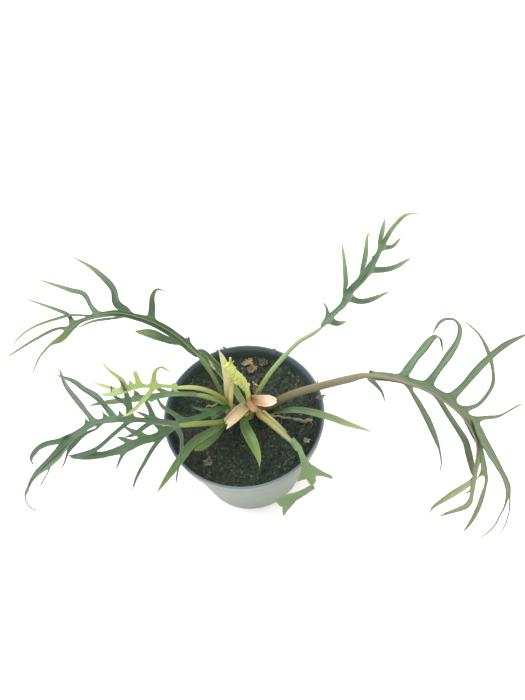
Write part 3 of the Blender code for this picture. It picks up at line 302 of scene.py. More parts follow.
LEAVES["leaf_left_low"] = dict(
    slot="dark_leaf", blade="blue_green", stem="green_petiole", fold=0.3, girth=(1.5, 1.1),
    petiole=[(-9, 3, 80), (-10.8, 2.4, 89)],
    rachis=[(-10.2, 1.3, 97, 3.7), (-15.2, -1.6, 101, 4.6), (-19.7, -4.4, 104, 4.5),
            (-24.8, -8.4, 107.5, 4.6), (-30.6, -13.1, 111.5, 4.5), (-36.1, -16.3, 114.5, 4.7),
            (-42, -19, 117, 5.5), (-48, -23.1, 119, 5.5), (-56.9, -30.1, 120.9, 6.2),
            (-67, -32.1, 120.9, 5.5), (-76.9, -35.3, 119.8, 6.8), (-93.7, -37.2, 115.2, 4.5),
            (-106, -35.4, 112.4, 6.2), (-120, -34.2, 107.9, 0.8)],
    lobes=[
        lobe((-24, -7.3, 108, 3.8), (-28.1, -6.3, 109.5, 3), (-32.2, -5.3, 110.5, 1.9),
             (-35.8, -4.2, 111.5, 0.8)),
        lobe((-39, -18, 117, 5), (-48, -11, 117, 3.5), (-54.2, -6.2, 115.9, 3.5), (-58.7, 0.7, 112.8, 2.2),
             (-63.4, 10.9, 108.9, 0.8)),
        lobe((-53, -27, 121, 4.5), (-58, -21, 121, 3.5), (-64, -14, 119, 3.5), (-75, -6, 115, 0.8)),
        lobe((-64, -31, 122, 4.5), (-69.8, -26.7, 121.2, 5.2), (-77.1, -22.2, 118.9, 2.4),
             (-85.1, -14.1, 114.9, 0.8)),
        lobe((-76, -34, 121, 3.5), (-80.8, -28.7, 119.2, 3.3), (-85.9, -25.8, 117.1, 0.8)),
        lobe((-58, -32, 122, 4.5), (-61, -36.5, 116.7, 2.9), (-67.7, -43.2, 109.8, 2.8),
             (-74.5, -48.8, 101.1, 2.2), (-78.8, -55.8, 94.5, 0.8)),
        lobe((-80, -37, 120, 2.5), (-83.2, -41.3, 113.8, 2.1), (-86.9, -45.6, 108.5, 0.8)),
        lobe((-23.1, -9.2, 107, 2.8), (-22.3, -11.1, 105, 2.1), (-21.5, -12.5, 103, 1.4)),
        lobe((-14.1, -1.7, 99, 4), (-16.8, -4.1, 98.5, 4.8), (-20.2, -6.6, 98, 4), (-23.5, -8.9, 98, 0.8))])

LEAVES["leaf_left_young"] = dict(
    slot="young_leaf", blade="young_green", stem="olive_petiole", fold=0.4, girth=(1.75, 1.45),
    petiole=[(-9, 3, 86), (-9.3, 4.5, 93), (-14.4, 4.5, 105), (-20.5, 2.4, 118), (-27.2, -1, 130),
             (-33.2, -4, 137.5)],
    rachis=[(-39.4, -7.6, 145.5, 2.1), (-43.3, -8.3, 148, 2.1), (-50.4, -9.7, 152, 2.6),
            (-55.3, -10.8, 154, 2.2), (-61.1, -11.5, 156, 2.6), (-64.8, -12.5, 157, 3.3),
            (-68.6, -13.8, 157.5, 4.2), (-72.6, -14.9, 157, 3.9), (-76.1, -15.6, 156.3, 3.8),
            (-81.2, -14.9, 155, 3.1), (-84.8, -14.5, 154, 1.9), (-89.6, -11.7, 152.5, 0.8)],
    lobes=[
        lobe((-52, -9.1, 153, 3.5), (-53.1, -5.2, 156, 3.3), (-52.1, -3.3, 158.5, 2.8),
             (-50, -1.9, 160.5, 1.6), (-47.3, -1.2, 161.5, 2.2), (-45.2, -2.3, 160.5, 2),
             (-43.2, -4, 158.5, 1.1), (-40.7, -5, 157, 0.8)),
        lobe((-61.3, -10.5, 156, 3.7), (-62.9, -7.1, 159, 3.1), (-64.2, -3.3, 161.5, 3.1)),
        lobe((-66.1, -11.2, 157, 1.5), (-67.2, -9.2, 158.5, 1.4), (-68.2, -7.6, 159.5, 0.8)),
        lobe((-69.2, -12.6, 158, 4.3), (-71.9, -8.5, 160.5, 3), (-75.5, -5.8, 161.5, 2.4),
             (-79.3, -2.8, 162.5, 1.9), (-82.4, 0.5, 163, 1.4), (-84.6, 4.1, 162.7, 1.1),
             (-86.1, 8, 162, 0.8)),
        lobe((-73.4, -13.8, 157, 2.1), (-77.5, -12, 156.5, 2.1), (-81.3, -10.5, 156, 2.5),
             (-87.2, -6.8, 154.5, 2), (-94, -3.5, 152.5, 0.8)),
        lobe((-53.9, -11.9, 154, 2.8), (-55.4, -15, 154, 3.2), (-57.6, -18, 153.5, 3),
             (-59.5, -20.4, 153.3, 2.9), (-62.1, -23.4, 153, 2.6), (-64.3, -25.5, 152.5, 2.6),
             (-68.6, -28.5, 151.5, 1.7), (-72.5, -29.3, 150.5, 0.8)),
        lobe((-39.9, -7.4, 146, 2), (-41.1, -5.8, 147, 1.6), (-43, -6, 148, 0.8)),
        lobe((-40.9, -8.1, 146, 1.8), (-41.8, -9.7, 145, 1.5), (-40.2, -11, 144, 1.2),
             (-38.9, -10.4, 144, 0.8))])

LEAVES["leaf_left_middle"] = dict(
    slot="mid_leaf", blade="mid_green", stem="pale_petiole", fold=0.35, girth=(2, 1.75),
    petiole=[(-9, 3, 80), (-10.3, 4.9, 91), (-15.1, 4.4, 99), (-21, 3, 108), (-26.3, 1.8, 114.5)],
    rachis=[(-31, 1, 120, 2.9), (-39.1, -1, 125, 3.3), (-48, -2.1, 128, 4.3), (-57.2, -3.9, 129.5, 5.4),
            (-62.4, -4.6, 130.2, 5.1), (-68.1, -5.1, 130.6, 4.3), (-74.2, -5.6, 130.5, 4.3),
            (-80.6, -5.2, 130, 4.3), (-86.3, -4.6, 128.5, 4.2), (-93.4, -3.6, 126.5, 3.5),
            (-100.2, -2.5, 124, 2.3), (-106.1, -2.7, 121.9, 0.8)],
    lobes=[
        lobe((-52.2, -0.8, 129, 5.9), (-54.7, 0.4, 130.5, 4.4), (-57.8, 1.8, 132, 0.8)),
        lobe((-68.8, -4.2, 130.8, 5.3), (-70.2, -2, 132, 4.3), (-72, 0.5, 133, 0.8)),
        lobe((-58.7, -6, 129.5, 2.4), (-59.8, -7.3, 129.8, 1.8), (-61, -8.6, 130, 0.8))])

LEAVES["leaf_front_right"] = dict(
    slot="mid_leaf", blade="soft_green", stem="straw_petiole", fold=0.3, girth=(2.75, 1.85),
    petiole=[(13, 2, 84), (12, -4.4, 92), (16.4, -11.5, 96.5), (22, -20.4, 101.5), (27.7, -29.1, 106)],
    rachis=[(32.1, -35.5, 109.3, 4), (34, -38, 110, 4.5), (36.3, -43, 110, 4.5)],
    lobes=[])

LEAVES["leaf_back_curled"] = dict(
    slot="dark_leaf", blade="curled_green", stem="green_petiole", fold=0.5, girth=(1.4, 1.2),
    petiole=[(3, 1, 85), (2.4, 2.2, 89)],
    rachis=[(1.6, 3.4, 91.5, 3.4), (-0.4, 6.4, 94, 4.6), (-2.6, 9.8, 96.5, 4.8), (-4.6, 13.2, 99, 5),
            (-7, 17, 102, 5.2), (-10.3, 20, 106.5, 5.8), (-14, 23, 112, 5.8), (-17, 24.6, 117, 6.2),
            (-19.6, 25.6, 121, 6.4), (-22.3, 27.3, 125, 6.6), (-25, 29.4, 128.2, 6.6),
            (-28.2, 30.7, 129.8, 5.2), (-31.3, 31.5, 128.6, 2)],
    lobes=[])

# The undivided leaves, as (x, y, z, width) stops
STRAPS = {
    "strap_leaf_outer": dict(slot="mid_leaf", top="fresh_green", fold=0.3, path=[
        (-9, 3, 85, 3), (-11.5, -2, 91.5, 3), (-15, -9, 96, 4.5), (-22, -19, 101, 6.5), (-31, -25, 104, 7),
        (-39, -32, 104, 7), (-48, -43, 101, 6.5), (-57, -51, 94, 3.7), (-63.3, -57.3, 89.8, 0.8)]),
    "strap_leaf_inner": dict(slot="bright_leaf", top="shaded_green", fold=0.3, path=[
        (-9, 3, 81, 3), (-10, -2.5, 85.5, 3.5), (-15, -8, 89, 6), (-20, -16, 93, 8), (-26, -24, 95, 8),
        (-32, -28, 94, 6.5), (-37, -29, 93, 2)]),
    "strap_leaf_front": dict(slot="bright_leaf", top="bright_green", fold=0.75, path=[
        (3, 1, 86, 3), (2.5, -4, 92.5, 4.5), (-0.2, -12, 97, 6), (2.3, -22, 101, 7.4), (6, -32, 102, 7.2),
        (8.9, -40, 99, 3.9), (9, -47, 94, 0.8)]),
    "strap_leaf_right": dict(slot="bright_leaf", top="pale_ended_green", fold=0.3, path=[
        (13, 2, 82, 3), (17, -1.4, 88, 4), (19, -3, 92, 4.5), (27, -8, 101, 5), (36, -12, 109, 5.5),
        (44.1, -15.8, 113.1, 5.5), (58.2, -23.6, 117.2, 5.8), (68.9, -28.1, 114.9, 5),
        (88.1, -33.1, 106.9, 0.8)]),
}

# The front leaf's blade, as two outlines: it ends like a fish's tail, and its end is folded back
FISHTAIL = [
    [(31.7, -35.3, 110.5), (33.2, -38.9, 110.5), (34.8, -42.1, 110), (36.4, -47.5, 109), (37.1, -51.8, 107),
     (36.6, -55.3, 103.5), (34.1, -58.4, 99), (33.4, -60.3, 96.5), (36.8, -59.9, 98.5), (39.7, -59.8, 99.5),
     (41.6, -62.2, 97), (42.7, -63.2, 96), (44.4, -62.9, 96.5), (46.2, -61.4, 99), (45.9, -60, 100.5),
     (46.4, -59.1, 101.5), (50.8, -58.9, 100), (56.6, -60.1, 97), (57.8, -59.8, 96.5), (56.3, -58.1, 98.5),
     (51, -56.5, 102), (46.5, -54, 104.5), (43.3, -52.1, 106.5), (41.6, -49.9, 107.5), (39.6, -45.7, 109),
     (38.5, -41.3, 110), (36.2, -37.7, 110.5), (34.1, -34.4, 110.5)],
    [(42.1, -63.2, 96), (38.3, -64.3, 94), (34.3, -64.9, 92), (28.1, -65.1, 89), (21.2, -65.9, 86),
     (16.6, -66.6, 84), (18.9, -67.9, 82.5), (20.4, -70, 80.5), (22.3, -70.7, 80), (22.1, -73.2, 77),
     (22.5, -75.6, 74.5), (25.2, -73.2, 77), (28.9, -70.8, 81), (32.6, -68.4, 84.5), (37.1, -67, 88),
     (42.1, -65.7, 91.5), (45, -64.9, 93.5), (44.4, -63.2, 95.8)],
]

# The thin pale edge of the front leaf's sheath, and the rolled parts that stand on a shoot,
# as (x, y, z, half width) stops
SHEATH_WING = [(14.5, -3.6, 96, 0.9), (18.1, -9.3, 98.5, 1.1), (23, -16.9, 102, 1),
               (27.2, -23.6, 104.5, 0.8), (30, -27.6, 106, 0.3)]
SPEAR = [(-11.5, 4.5, 92, 1.6), (-10.1, 7.8, 109, 2.7), (-8.8, 10.1, 123, 3.2), (-8.9, 12.4, 135, 2.9),
         (-10.1, 14, 144, 1.8), (-11.4, 15, 151, 0.2)]
STUB = [(-9.7, 1.6, 93, 1.3), (-8, 4.5, 107, 1.75), (-5.9, 8.3, 120, 1.5)]
NEW_LEAF = [(4.5, 2.7, 100, 1.7), (4.5, 4.2, 106, 1.9), (4.2, 5.3, 111, 2.2), (3.3, 6.3, 116, 2.6),
            (1, 6.8, 121.5, 3), (-1.4, 7.4, 127, 3.3), (-3.6, 8, 131.5, 3.5), (-5.4, 8.8, 135, 3.3),
            (-6.3, 9.4, 138.5, 2.6), (-6.4, 9.9, 141.5, 1.6)]
NEW_LEAF_FINGERS = [
    [(-5.3, 8.8, 140.5, 1), (-4.7, 10.1, 143.5, 0.84), (-4.4, 11.2, 146.5, 0.7)],
    [(-4.5, 9.5, 140, 0.63), (-3.4, 10, 141.8, 0.42), (-2.3, 10.6, 143, 0.39)],
]

# Papery scales, as pairs of edge points from the foot to the end, scooped between them
SCALES = {
    # The left bract's dark band is an olive-buff stripe of its own colour.
    "bract_left": dict(finish="buff_scale", scoop=1.6, streak_and_groove_shade=(-0.65, 0.55, 1),
         torn=(0.6, 1.9, -0.2, 1.3, -0.9, 0.4, 1.4), rows=[
        ((3.7, -0.3, 105.5), (5.6, -3.7, 103)), ((1.8, -2, 108.5), (4.3, -7.2, 105.5)),
        ((-2.7, -5.1, 110.5), (0.8, -12, 107.5)), ((-7, -9, 111), (-2.7, -15.8, 107.5)),
        ((-10.2, -11.2, 109.5), (-7.2, -18.3, 106)), ((-12.9, -13.3, 107.5), (-11.5, -19.5, 104))]),
    # The right bract's dark band is painted shadow in the groove inside its rolled-up lower edge.
    "bract_right": dict(finish="pink_scale", scoop=2.3, streak_and_groove_shade=(0.62, 0.33, 0.5),
         torn=None, rows=[
        ((5.5, 5.4, 104.5), (5.1, -0.3, 101.5)), ((9, 3.5, 107.5), (8.8, -3.4, 105)),
        ((12.5, 1.7, 110), (12.3, -5.6, 107.8)), ((17.4, -0.3, 112.5), (15.7, -7.6, 108.5)),
        ((21.4, -1.7, 113.5), (19.7, -8, 109.5)), ((23.7, -3.6, 113), (22.5, -7.2, 110.5)),
        ((25, -4.8, 112), (24.6, -6, 111.2))]),
}

# What is left of older scales round the shoots' foot
OLD_SCALES = [
    dict(finish="old_scale", scoop=-1.8, streak_and_groove_shade=(0.9, 0.5, 1),
         torn=None, rows=[
        ((2, -2.4, 105.5), (5.4, 0.6, 106)), ((3.8, -4.8, 104.8), (7.4, -1.3, 105)),
        ((5.5, -6.6, 103.5), (9.4, -2.5, 103.8)), ((7.2, -7.1, 101.5), (10.8, -3.3, 101.8)),
        ((9.2, -6.6, 99.5), (11.4, -4, 99.5))]),
    dict(finish="green_scale", scoop=0.5, streak_and_groove_shade=(0, 0.2, 0),
         torn=None, rows=[
        ((4, -3.7, 101), (5.4, -5.2, 99)), ((2.1, -6.1, 102), (4, -8.3, 100)),
        ((0.1, -8.1, 101.5), (1.4, -9.6, 100.5))]),
]

# Dry threads: one on the mix, two by the curled leaf, one by the shoots
CURLS = [
    ("green_scale", [(-29.5, 10.4, 83.5, 0.5), (-27.3, 11.1, 84.5, 0.7), (-24.7, 10, 84, 0.7),
      (-22.3, 10.9, 84.5, 0.8), (-20.4, 12.6, 84, 0.4)]),
    ("cream_scale", [(-21.4, 24.7, 125.8, 0.5), (-20.2, 22.7, 124.6, 0.8), (-19.5, 21.5, 122, 0.9),
      (-17.9, 20.7, 119.4, 0.6)]),
    ("buff_scale", [(-18.7, 23.1, 122.6, 0.4), (-19.6, 21.2, 121.5, 0.7), (-18.9, 20.3, 119.6, 0.5)]),
    ("cream_scale", [(8.2, 24.9, 92, 0.35), (9.2, 22.9, 91, 0.5), (10.4, 22.6, 90, 0.5),
      (12, 23, 88, 0.3)]),
]

# Dry flakes: finish, place, length and width, turn in degrees, curl and seed
FLAKES = {
    "scrap_back_left": ("dead_leaf", (4.5, 49), (11.5, 9), 35, 1.3, 3),
    "scrap_back_middle": ("shadowed_leaf", (8.5, 42.5), (12.5, 6), 28, 1.8, 8),
    "scrap_back_right": ("old_dead_leaf", (17.5, 48), (8.5, 8), -50, 1.5, 12),
    "scrap_beside_shoot": ("dead_leaf", (9, 24), (9, 3.2), 80, 2.6, 21),
    "scrap_front_left": ("torn_leaf", (-28, -34.5), (8.5, 7), -60, 1, 30),
    "scrap_right": ("pale_dead_leaf", (44.5, -24), (6.5, 5), -30, 1, 37),
}

# The old root's way over the mix
ROOT_PATH = [(17.8, -0.3), (22.3, -1.4), (28.3, -2.2), (34.2, -4.1), (40, -5.9), (45.9, -7.2), (50.7, -8.2)]

# Where tufts of fibre lie on the lip: x, y, spread, how many fibres, and their length
TUFTS = [(-15, 58, 3, 14, 3.6), (28.7, 52.5, 2.4, 7, 3.2), (58.45, 15.64, 2.6, 24, 4.8),
         (61.84, 7.432, 2, 14, 4.2), (59.5, 4, 0.5, 3, 5)]


# Scene, camera and light

def set_camera():
    """The photograph's view: high in front of the pot, looking down at it."""
    pitch, yaw, roll = (radians(angle) for angle in (CAMERA_PITCH, CAMERA_YAW, CAMERA_ROLL))
    ahead = Vector((sin(yaw) * cos(pitch), cos(yaw) * cos(pitch), -sin(pitch)))
    level = Vector((cos(yaw), -sin(yaw), 0))
    upright = level.cross(ahead)
    right = level * cos(roll) + upright * sin(roll)
    above = upright * cos(roll) - level * sin(roll)
    turn = Matrix((right, above, -ahead)).transposed()
    bpy.ops.object.camera_add()
    camera = bpy.context.object
    camera.name = "camera"
    camera.matrix_world = Matrix.Translation(Vector(CAMERA_PLACE) * MM) @ turn.to_4x4()
    camera.data.sensor_width = SENSOR
    camera.data.lens = FOCAL_PIXELS / PHOTO_HEIGHT * SENSOR
    camera.data.clip_start = 0.01
    bpy.context.scene.camera = camera


def set_light():
    """A white table under a large soft window light, bright all round."""
    bpy.ops.mesh.primitive_plane_add(size=TABLE_SIZE * MM, location=(0, 0, -TABLE_DROP * MM))
    table = bpy.context.object
    table.name = "table"
    bpy.ops.object.transform_apply(location=True, rotation=True, scale=True)
    table.data.materials.append(white_table())
    world = bpy.data.worlds.new("room")
    world.use_nodes = True
    sky = world.node_tree.nodes["Background"].inputs
    sky["Color"].default_value = linear("#ffffff")
    sky["Strength"].default_value = ROOM_LIGHT
    bpy.context.scene.world = world
    for place, size, power in WINDOWS:
        bpy.ops.object.light_add(type="AREA", location=place)
        lamp = bpy.context.object
        lamp.data.size = size
        lamp.data.energy = power
        lamp.rotation_euler = (-Vector(place)).to_track_quat("-Z", "Y").to_euler()
    bpy.context.scene.view_settings.view_transform = "Standard"


# Materials

def linear(colour):
    """An sRGB hex colour as linear red, green, blue and alpha."""
    parts = [int(colour[spot:spot + 2], 16) / 255 for spot in (1, 3, 5)]
    return (*[part / 12.92 if part <= 0.04045 else ((part + 0.055) / 1.055) ** 2.4 for part in parts], 1.0)


def add_node(made, kind, output, sockets, **settings):
    """Adds a node to a material with its settings, sets or links its sockets, and gives an output."""
    tree = made.node_tree
    node = tree.nodes.new("ShaderNode" + kind)
    for name, value in settings.items():
        setattr(node, name, value)
    for socket, value in sockets.items():
        if isinstance(value, bpy.types.NodeSocket):
            tree.links.new(value, node.inputs[socket])
        else:
            node.inputs[socket].default_value = value
    return node.outputs[output]


def start_material(name, constants):
    """A material with constants on its shader's own sockets, and the place on the piece as a pattern."""
    made = bpy.data.materials.new(name)
    made.use_nodes = True
    for socket, value in constants.items():
        made.node_tree.nodes["Principled BSDF"].inputs[socket].default_value = value
    return made, add_node(made, "TexCoord", "Object", {})


def finish_material(made, base, layers, height=None, relief=0.0, gloss=None):
    """Lays colours over the base in turn, and adds the relief in millimetres and the gloss.

    A layer is a colour, the pattern that spreads it, the pattern's values where it starts and is
    full, and the share that it covers at each of the two.
    """
    tree = made.node_tree
    shader = tree.nodes["Principled BSDF"]
    colour = linear(base)
    for shade, pattern, *span in layers:
        low, high, least, most = (*span, *(0.0, 1.0, 0.0, 1.0)[len(span):])
        share = add_node(made, "MapRange", "Result", {"Value": pattern, "From Min": low, "From Max": high,
                                                      "To Min": least, "To Max": most})
        colour = add_node(made, "Mix", 2, {0: share, 6: colour, 7: linear(shade)}, data_type="RGBA")
    tree.links.new(colour, shader.inputs["Base Color"])
    if gloss:
        pattern, least, most = gloss
        sheen = add_node(made, "MapRange", "Result", {"Value": pattern, "To Min": least, "To Max": most})
        tree.links.new(sheen, shader.inputs["Roughness"])
    if height:
        bump = add_node(made, "Bump", "Normal", {"Height": height, "Distance": relief * MM,
                                                 "Strength": 1.0})
        tree.links.new(bump, shader.inputs["Normal"])
    return made


def white_table():
    """Painted white table top, matt, so the pot leaves only a faint shadow on it."""
    made, place = start_material("white_painted_board", {"Roughness": 0.7, "IOR": 1.45})
    grain = add_node(made, "TexNoise", "Fac", {"Vector": place, "Scale": 1 / (1.5 * MM)})
    return finish_material(made, "#fbfaf8", [("#f5f4f1", grain)])


def leaf_finish(name, blade, mottled, rib, edge, tip, old, ageing=(0.5, 1.2), gloss=0.42, tipped=0.7):
    """Living leaf: a waxy skin with a soft satin sheen, mottled green, and a paler midrib and margin.

    The freshest green is at the leaf's foot; the lobes turn to the old colour towards its end.
    """
    made, place = start_material("waxy_leaf_" + name, {
        "Roughness": gloss, "IOR": 1.42, "Subsurface Weight": 0.12,
        "Subsurface Radius": (1.0, 1.6, 0.5), "Subsurface Scale": 0.6 * MM})
    across, along, reach = [add_node(made, "Attribute", "Fac", {}, attribute_name=measure)
                            for measure in ("across", "along", "reach")]
    clouds = add_node(made, "TexNoise", "Fac", {"Vector": place, "Scale": 1 / (12 * MM), "Detail": 3.0})
    grain = add_node(made, "TexNoise", "Fac", {"Vector": place, "Scale": 1 / (0.7 * MM), "Detail": 2.0})
    layers = [(mottled, clouds, 0.35, 0.65), (old, reach, *ageing), (rib, across, 0.05, 0.16, 0.6, 0.0),
              (edge, across, 0.82, 1.0, 0.0, 0.6), (tip, along, tipped, 1.0, 0.0, 0.85)]
    return finish_material(made, blade, layers, grain, 0.05, (grain, gloss - 0.08, gloss + 0.1))


def stem_finish(name, foot, middle, end):
    """Petiole skin: smooth and satin, streaked along its length, and changing towards the blade."""
    made, place = start_material("petiole_skin_" + name, {"Roughness": 0.4, "IOR": 1.42})
    along = add_node(made, "Attribute", "Fac", {}, attribute_name="along")
    streaks = add_node(made, "TexNoise", "Fac", {"Vector": place, "Scale": 1 / (2.5 * MM), "Detail": 5.0})
    layers = [(middle, along, 0.0, 0.45), (end, along, 0.4, 1.0)]
    return finish_material(made, foot, layers, streaks, 0.08, (streaks, 0.35, 0.55))


def papery_finish(name, pale, tinted, deep, tip):
    """Papery scale: thin and dry, with fine lengthwise veins and a deeper tint at its foot."""
    made, place = start_material("papery_sheath_" + name, {
        "Roughness": 0.55, "IOR": 1.4, "Subsurface Weight": 0.2,
        "Subsurface Radius": (1.6, 1.0, 0.7), "Subsurface Scale": 0.8 * MM})
    across, along, streak_and_groove_shade = [add_node(made, "Attribute", "Fac", {}, attribute_name=measure)
                             for measure in ("across", "along", "reach")]
    blush = add_node(made, "TexNoise", "Fac", {"Vector": place, "Scale": 1 / (6 * MM), "Detail": 3.0})
    veins = add_node(made, "Math", 0, {0: across, 1: 38.0}, operation="MULTIPLY")
    ridges = add_node(made, "Math", 0, {0: veins}, operation="SINE")
    # The last layer puts the deep colour on the scale's dark band, which is painted shadow on the right
    # bract.
    layers = [(tinted, blush, 0.4, 0.7), (tip, along, 0.5, 0.95), (deep, ridges, 0.2, 1.0, 0.0, 0.35),
              (deep, along, 0.05, 0.5, 0.9, 0.0), (deep, streak_and_groove_shade)]
    return finish_material(made, pale, layers, ridges, 0.06)


def crumbly_finish(name, dark, middle, light, patch, roughness, relief, stain=None):
    """Bark, peat or dead leaf: rough and matt, with a colour that changes from crumb to crumb.

    A stain lies over it in broad patches, as where the mix is more bark than moss.
    """
    made, place = start_material(name, {"Roughness": roughness, "IOR": 1.45})
    lumps = add_node(made, "TexNoise", "Fac", {"Vector": place, "Scale": 1 / (patch * MM), "Detail": 6.0,
                                               "Roughness": 0.65})
    cells = add_node(made, "TexVoronoi", "Color", {"Vector": place, "Scale": 1 / (0.45 * patch * MM)})
    layers = [(middle, lumps, 0.4, 0.6), (light, cells, 0.7, 0.95)]
    if stain:
        broad = add_node(made, "TexNoise", "Fac", {"Vector": place, "Scale": 1 / (22 * MM), "Detail": 4.0})
        layers.insert(1, (stain, broad, 0.47, 0.62, 0.0, 0.7))
    return finish_material(made, dark, layers, lumps, relief)


def pot_plastic():
    """Thermoformed polypropylene with a dull moulded skin: warm grey outside, and bluer inside,
    where the inner wall turns darker from near the lip downwards, with a ragged edge."""
    made, place = start_material("moulded_polypropylene", {"Roughness": 0.42, "IOR": 1.49})
    inside = add_node(made, "Attribute", "Fac", {}, attribute_name="inside")
    skin = add_node(made, "TexNoise", "Fac", {"Vector": place, "Scale": 1 / (0.6 * MM), "Detail": 2.0})
    dust = add_node(made, "TexNoise", "Fac", {"Vector": place, "Scale": 1 / (5 * MM), "Detail": 8.0,
                                              "Roughness": 0.7})
    height = add_node(made, "SeparateXYZ", "Z", {"Vector": place})
    # The inner wall turns darker from near the lip downwards, its edge broken up by the dust pattern.
    down_the_wall = add_node(made, "MapRange", "Result", {
        "Value": height, "From Min": (POT_HEIGHT - 9) * MM, "From Max": (POT_HEIGHT - 1) * MM,
        "To Min": 1.05, "To Max": -0.35})
    down_the_wall_with_dust = add_node(made, "Math", 0, {0: down_the_wall, 1: dust}, operation="ADD")
    darkening = add_node(made, "MapRange", "Result", {"Value": down_the_wall_with_dust, "From Min": 0.45, "From Max": 0.95})
    darkened_inside = add_node(made, "Math", 0, {0: darkening, 1: inside}, operation="MULTIPLY")
    layers = [("#5d6559", dust, 0.5, 0.8, 0.0, 0.5), ("#576568", inside), ("#353f3b", darkened_inside)]
    return finish_material(made, "#6b746a", layers, skin, 0.03, (dust, 0.36, 0.55))


# The finishes' colours, in the order in which their makers take them; some leaves add the share of
# their length where they start to age and are old, their gloss, and where a lobe's tip starts
PALETTE = {
    leaf_finish: {
        "deep_green": ("#324830", "#3c5239", "#4e6549", "#5a6e48", "#6c7f47", "#475e32", (0.6, 1.3), 0.42,
            0.45),
        "left_green": ("#3b513a", "#465b43", "#56684d", "#607051", "#42493e", "#4a5e44"),
        "blue_green": ("#3c5838", "#486243", "#576f4e", "#5a714a", "#434e3e", "#4a6243"),
        "curled_green": ("#698348", "#779151", "#a0a87a", "#a6ad7e", "#52674d", "#4a6144", (0.25, 0.6)),
        "grey_green": ("#425940", "#4d6449", "#405741", "#758656", "#78905a", "#5f745b", (0.5, 1.3), 0.42,
            0.45),
        "ageing_green": ("#354936", "#3e543c", "#677c5e", "#32452e", "#707554", "#8b985c", (0.32, 0.85)),
        "soft_green": ("#5c704a", "#687c55", "#7b8a65", "#7d8b68", "#888b65", "#65775c"),
        "fresh_green": ("#455b35", "#52673c", "#5f7444", "#697f4d", "#a68a71", "#5e783c", (0.5, 1.2), 0.42,
            0.93),
        "mid_green": ("#4d6142", "#58704b", "#6f8755", "#768e5d", "#635844", "#627d4d"),
        "pale_ended_green": ("#415739", "#4e633f", "#617a4f", "#6a7d54", "#90a071", "#839462", (0.5, 0.95)),
        # The inner strap lies in the outer strap's shadow: its dark blade is painted shade, and its old
        # colour, brighter towards its end, is painted light where the end comes out of that shadow.
        "shaded_green": ("#243d0b", "#2e4a11", "#48671f", "#547329", "#5d7a30", "#4d6d1e", (0.3, 0.9)),
        "bright_green": ("#405525", "#4c622c", "#596f36", "#6d8341", "#788c55", "#677f3a", (0.4, 1.1)),
        "young_green": ("#7c8e4a", "#8c9a5e", "#9ea97c", "#96a273", "#9ea382", "#849356"),
        "lime_leaf": ("#96a045", "#a3aa51", "#b6b770", "#b9b979", "#b1b15e", "#c3c875", (0, 1), 0.6),
        "lime_stem": ("#a9a951", "#bbb95e", "#b2b258", "#bbb95e", "#e9e37d", "#e3df82", (0.1, 0.4), 0.55),
        "ageing_underside": ("#4c6146", "#556a4d", "#6f7b5c", "#4a5a40", "#6f6c52", "#838a63", (0.3, 0.85)),
        "underside": ("#4e6149", "#586a50", "#7a8369", "#5e7157", "#6d755b", "#687459"),
    },
    stem_finish: {
        "green_petiole": ("#5f723a", "#5f6f42", "#7c8163"),
        "pale_petiole": ("#7b8f46", "#879c55", "#79895a"),
        "light_petiole": ("#6e8547", "#7a905c", "#7c8c6a"),
        "lime_petiole": ("#57622b", "#697a36", "#788841"),
        "olive_petiole": ("#808548", "#8a8e54", "#a9b36b"),
        "brown_petiole": ("#555534", "#6d654d", "#7e7165"),
        "straw_petiole": ("#b9975b", "#9c9256", "#727b5a"),
        "wing_petiole": ("#b3a57d", "#9a9668", "#6c7855"),
    },
    papery_finish: {
        "pink_scale": ("#dbcbad", "#d1b598", "#a67d5c", "#e4dcc5"),
        "buff_scale": ("#b9a481", "#b19675", "#8b8358", "#c5b593"),
        "old_scale": ("#be9b76", "#aa815f", "#91734d", "#b49668"),
        "green_scale": ("#989450", "#8b8845", "#757438", "#a09263"),
        "cream_scale": ("#cbc496", "#bfb481", "#a4a36b", "#d5cea8"),
        "tan_scale": ("#d9cc91", "#d5be7d", "#c6b973", "#d2b26f"),
    },
    crumbly_finish: {
        "shoot_skin": ("#646629", "#897a3c", "#978344", 5, 0.6, 0.15),
        "wet_mix": ("#14211a", "#223429", "#555f47", 3, 0.9, 0.5, "#2f2a24"),
        "peat_crumb": ("#222e23", "#2f3124", "#4c4c37", 4, 0.9, 0.3),
        "moss": ("#2e3f26", "#445633", "#747d52", 3, 0.8, 0.2),
        "chaff": ("#5b5d41", "#7b805c", "#a1ad8e", 3, 0.8, 0.2),
        "dead_leaf": ("#806f52", "#998a6b", "#64533c", 4, 0.75, 0.25),
        "pale_dead_leaf": ("#797563", "#94937e", "#605b4c", 4, 0.75, 0.25),
        "torn_leaf": ("#606247", "#737556", "#464734", 4, 0.8, 0.3),
        "shadowed_leaf": ("#6c6047", "#867b5f", "#4f4431", 4, 0.75, 0.25),
        "rim_fibre": ("#49443a", "#696152", "#7b7568", 3, 0.8, 0.2),
        "old_dead_leaf": ("#464339", "#585749", "#33302a", 4, 0.8, 0.3),
        "root_bark": ("#68644d", "#88826a", "#433f2c", 2.5, 0.8, 0.2),
    },
}
FINISHES = {}


def finish(name):
    """Each finish is made once, when the first piece asks for it."""
    if name not in FINISHES:
        maker = next(maker for maker, rows in PALETTE.items() if name in rows)
        FINISHES[name] = maker(name, *PALETTE[maker][name])
    return FINISHES[name]


# Small tools for the meshes

def piece_from(bm, name, *finishes):
    """Turns a mesh in millimetres into a piece in metres."""
    bmesh.ops.scale(bm, vec=(MM, MM, MM), verts=bm.verts)
    mesh = bpy.data.meshes.new(name)
    bm.to_mesh(mesh)
    bm.free()
    for made in finishes:
        mesh.materials.append(made)
    piece = bpy.data.objects.new(name, mesh)
    bpy.context.scene.collection.objects.link(piece)
    return piece


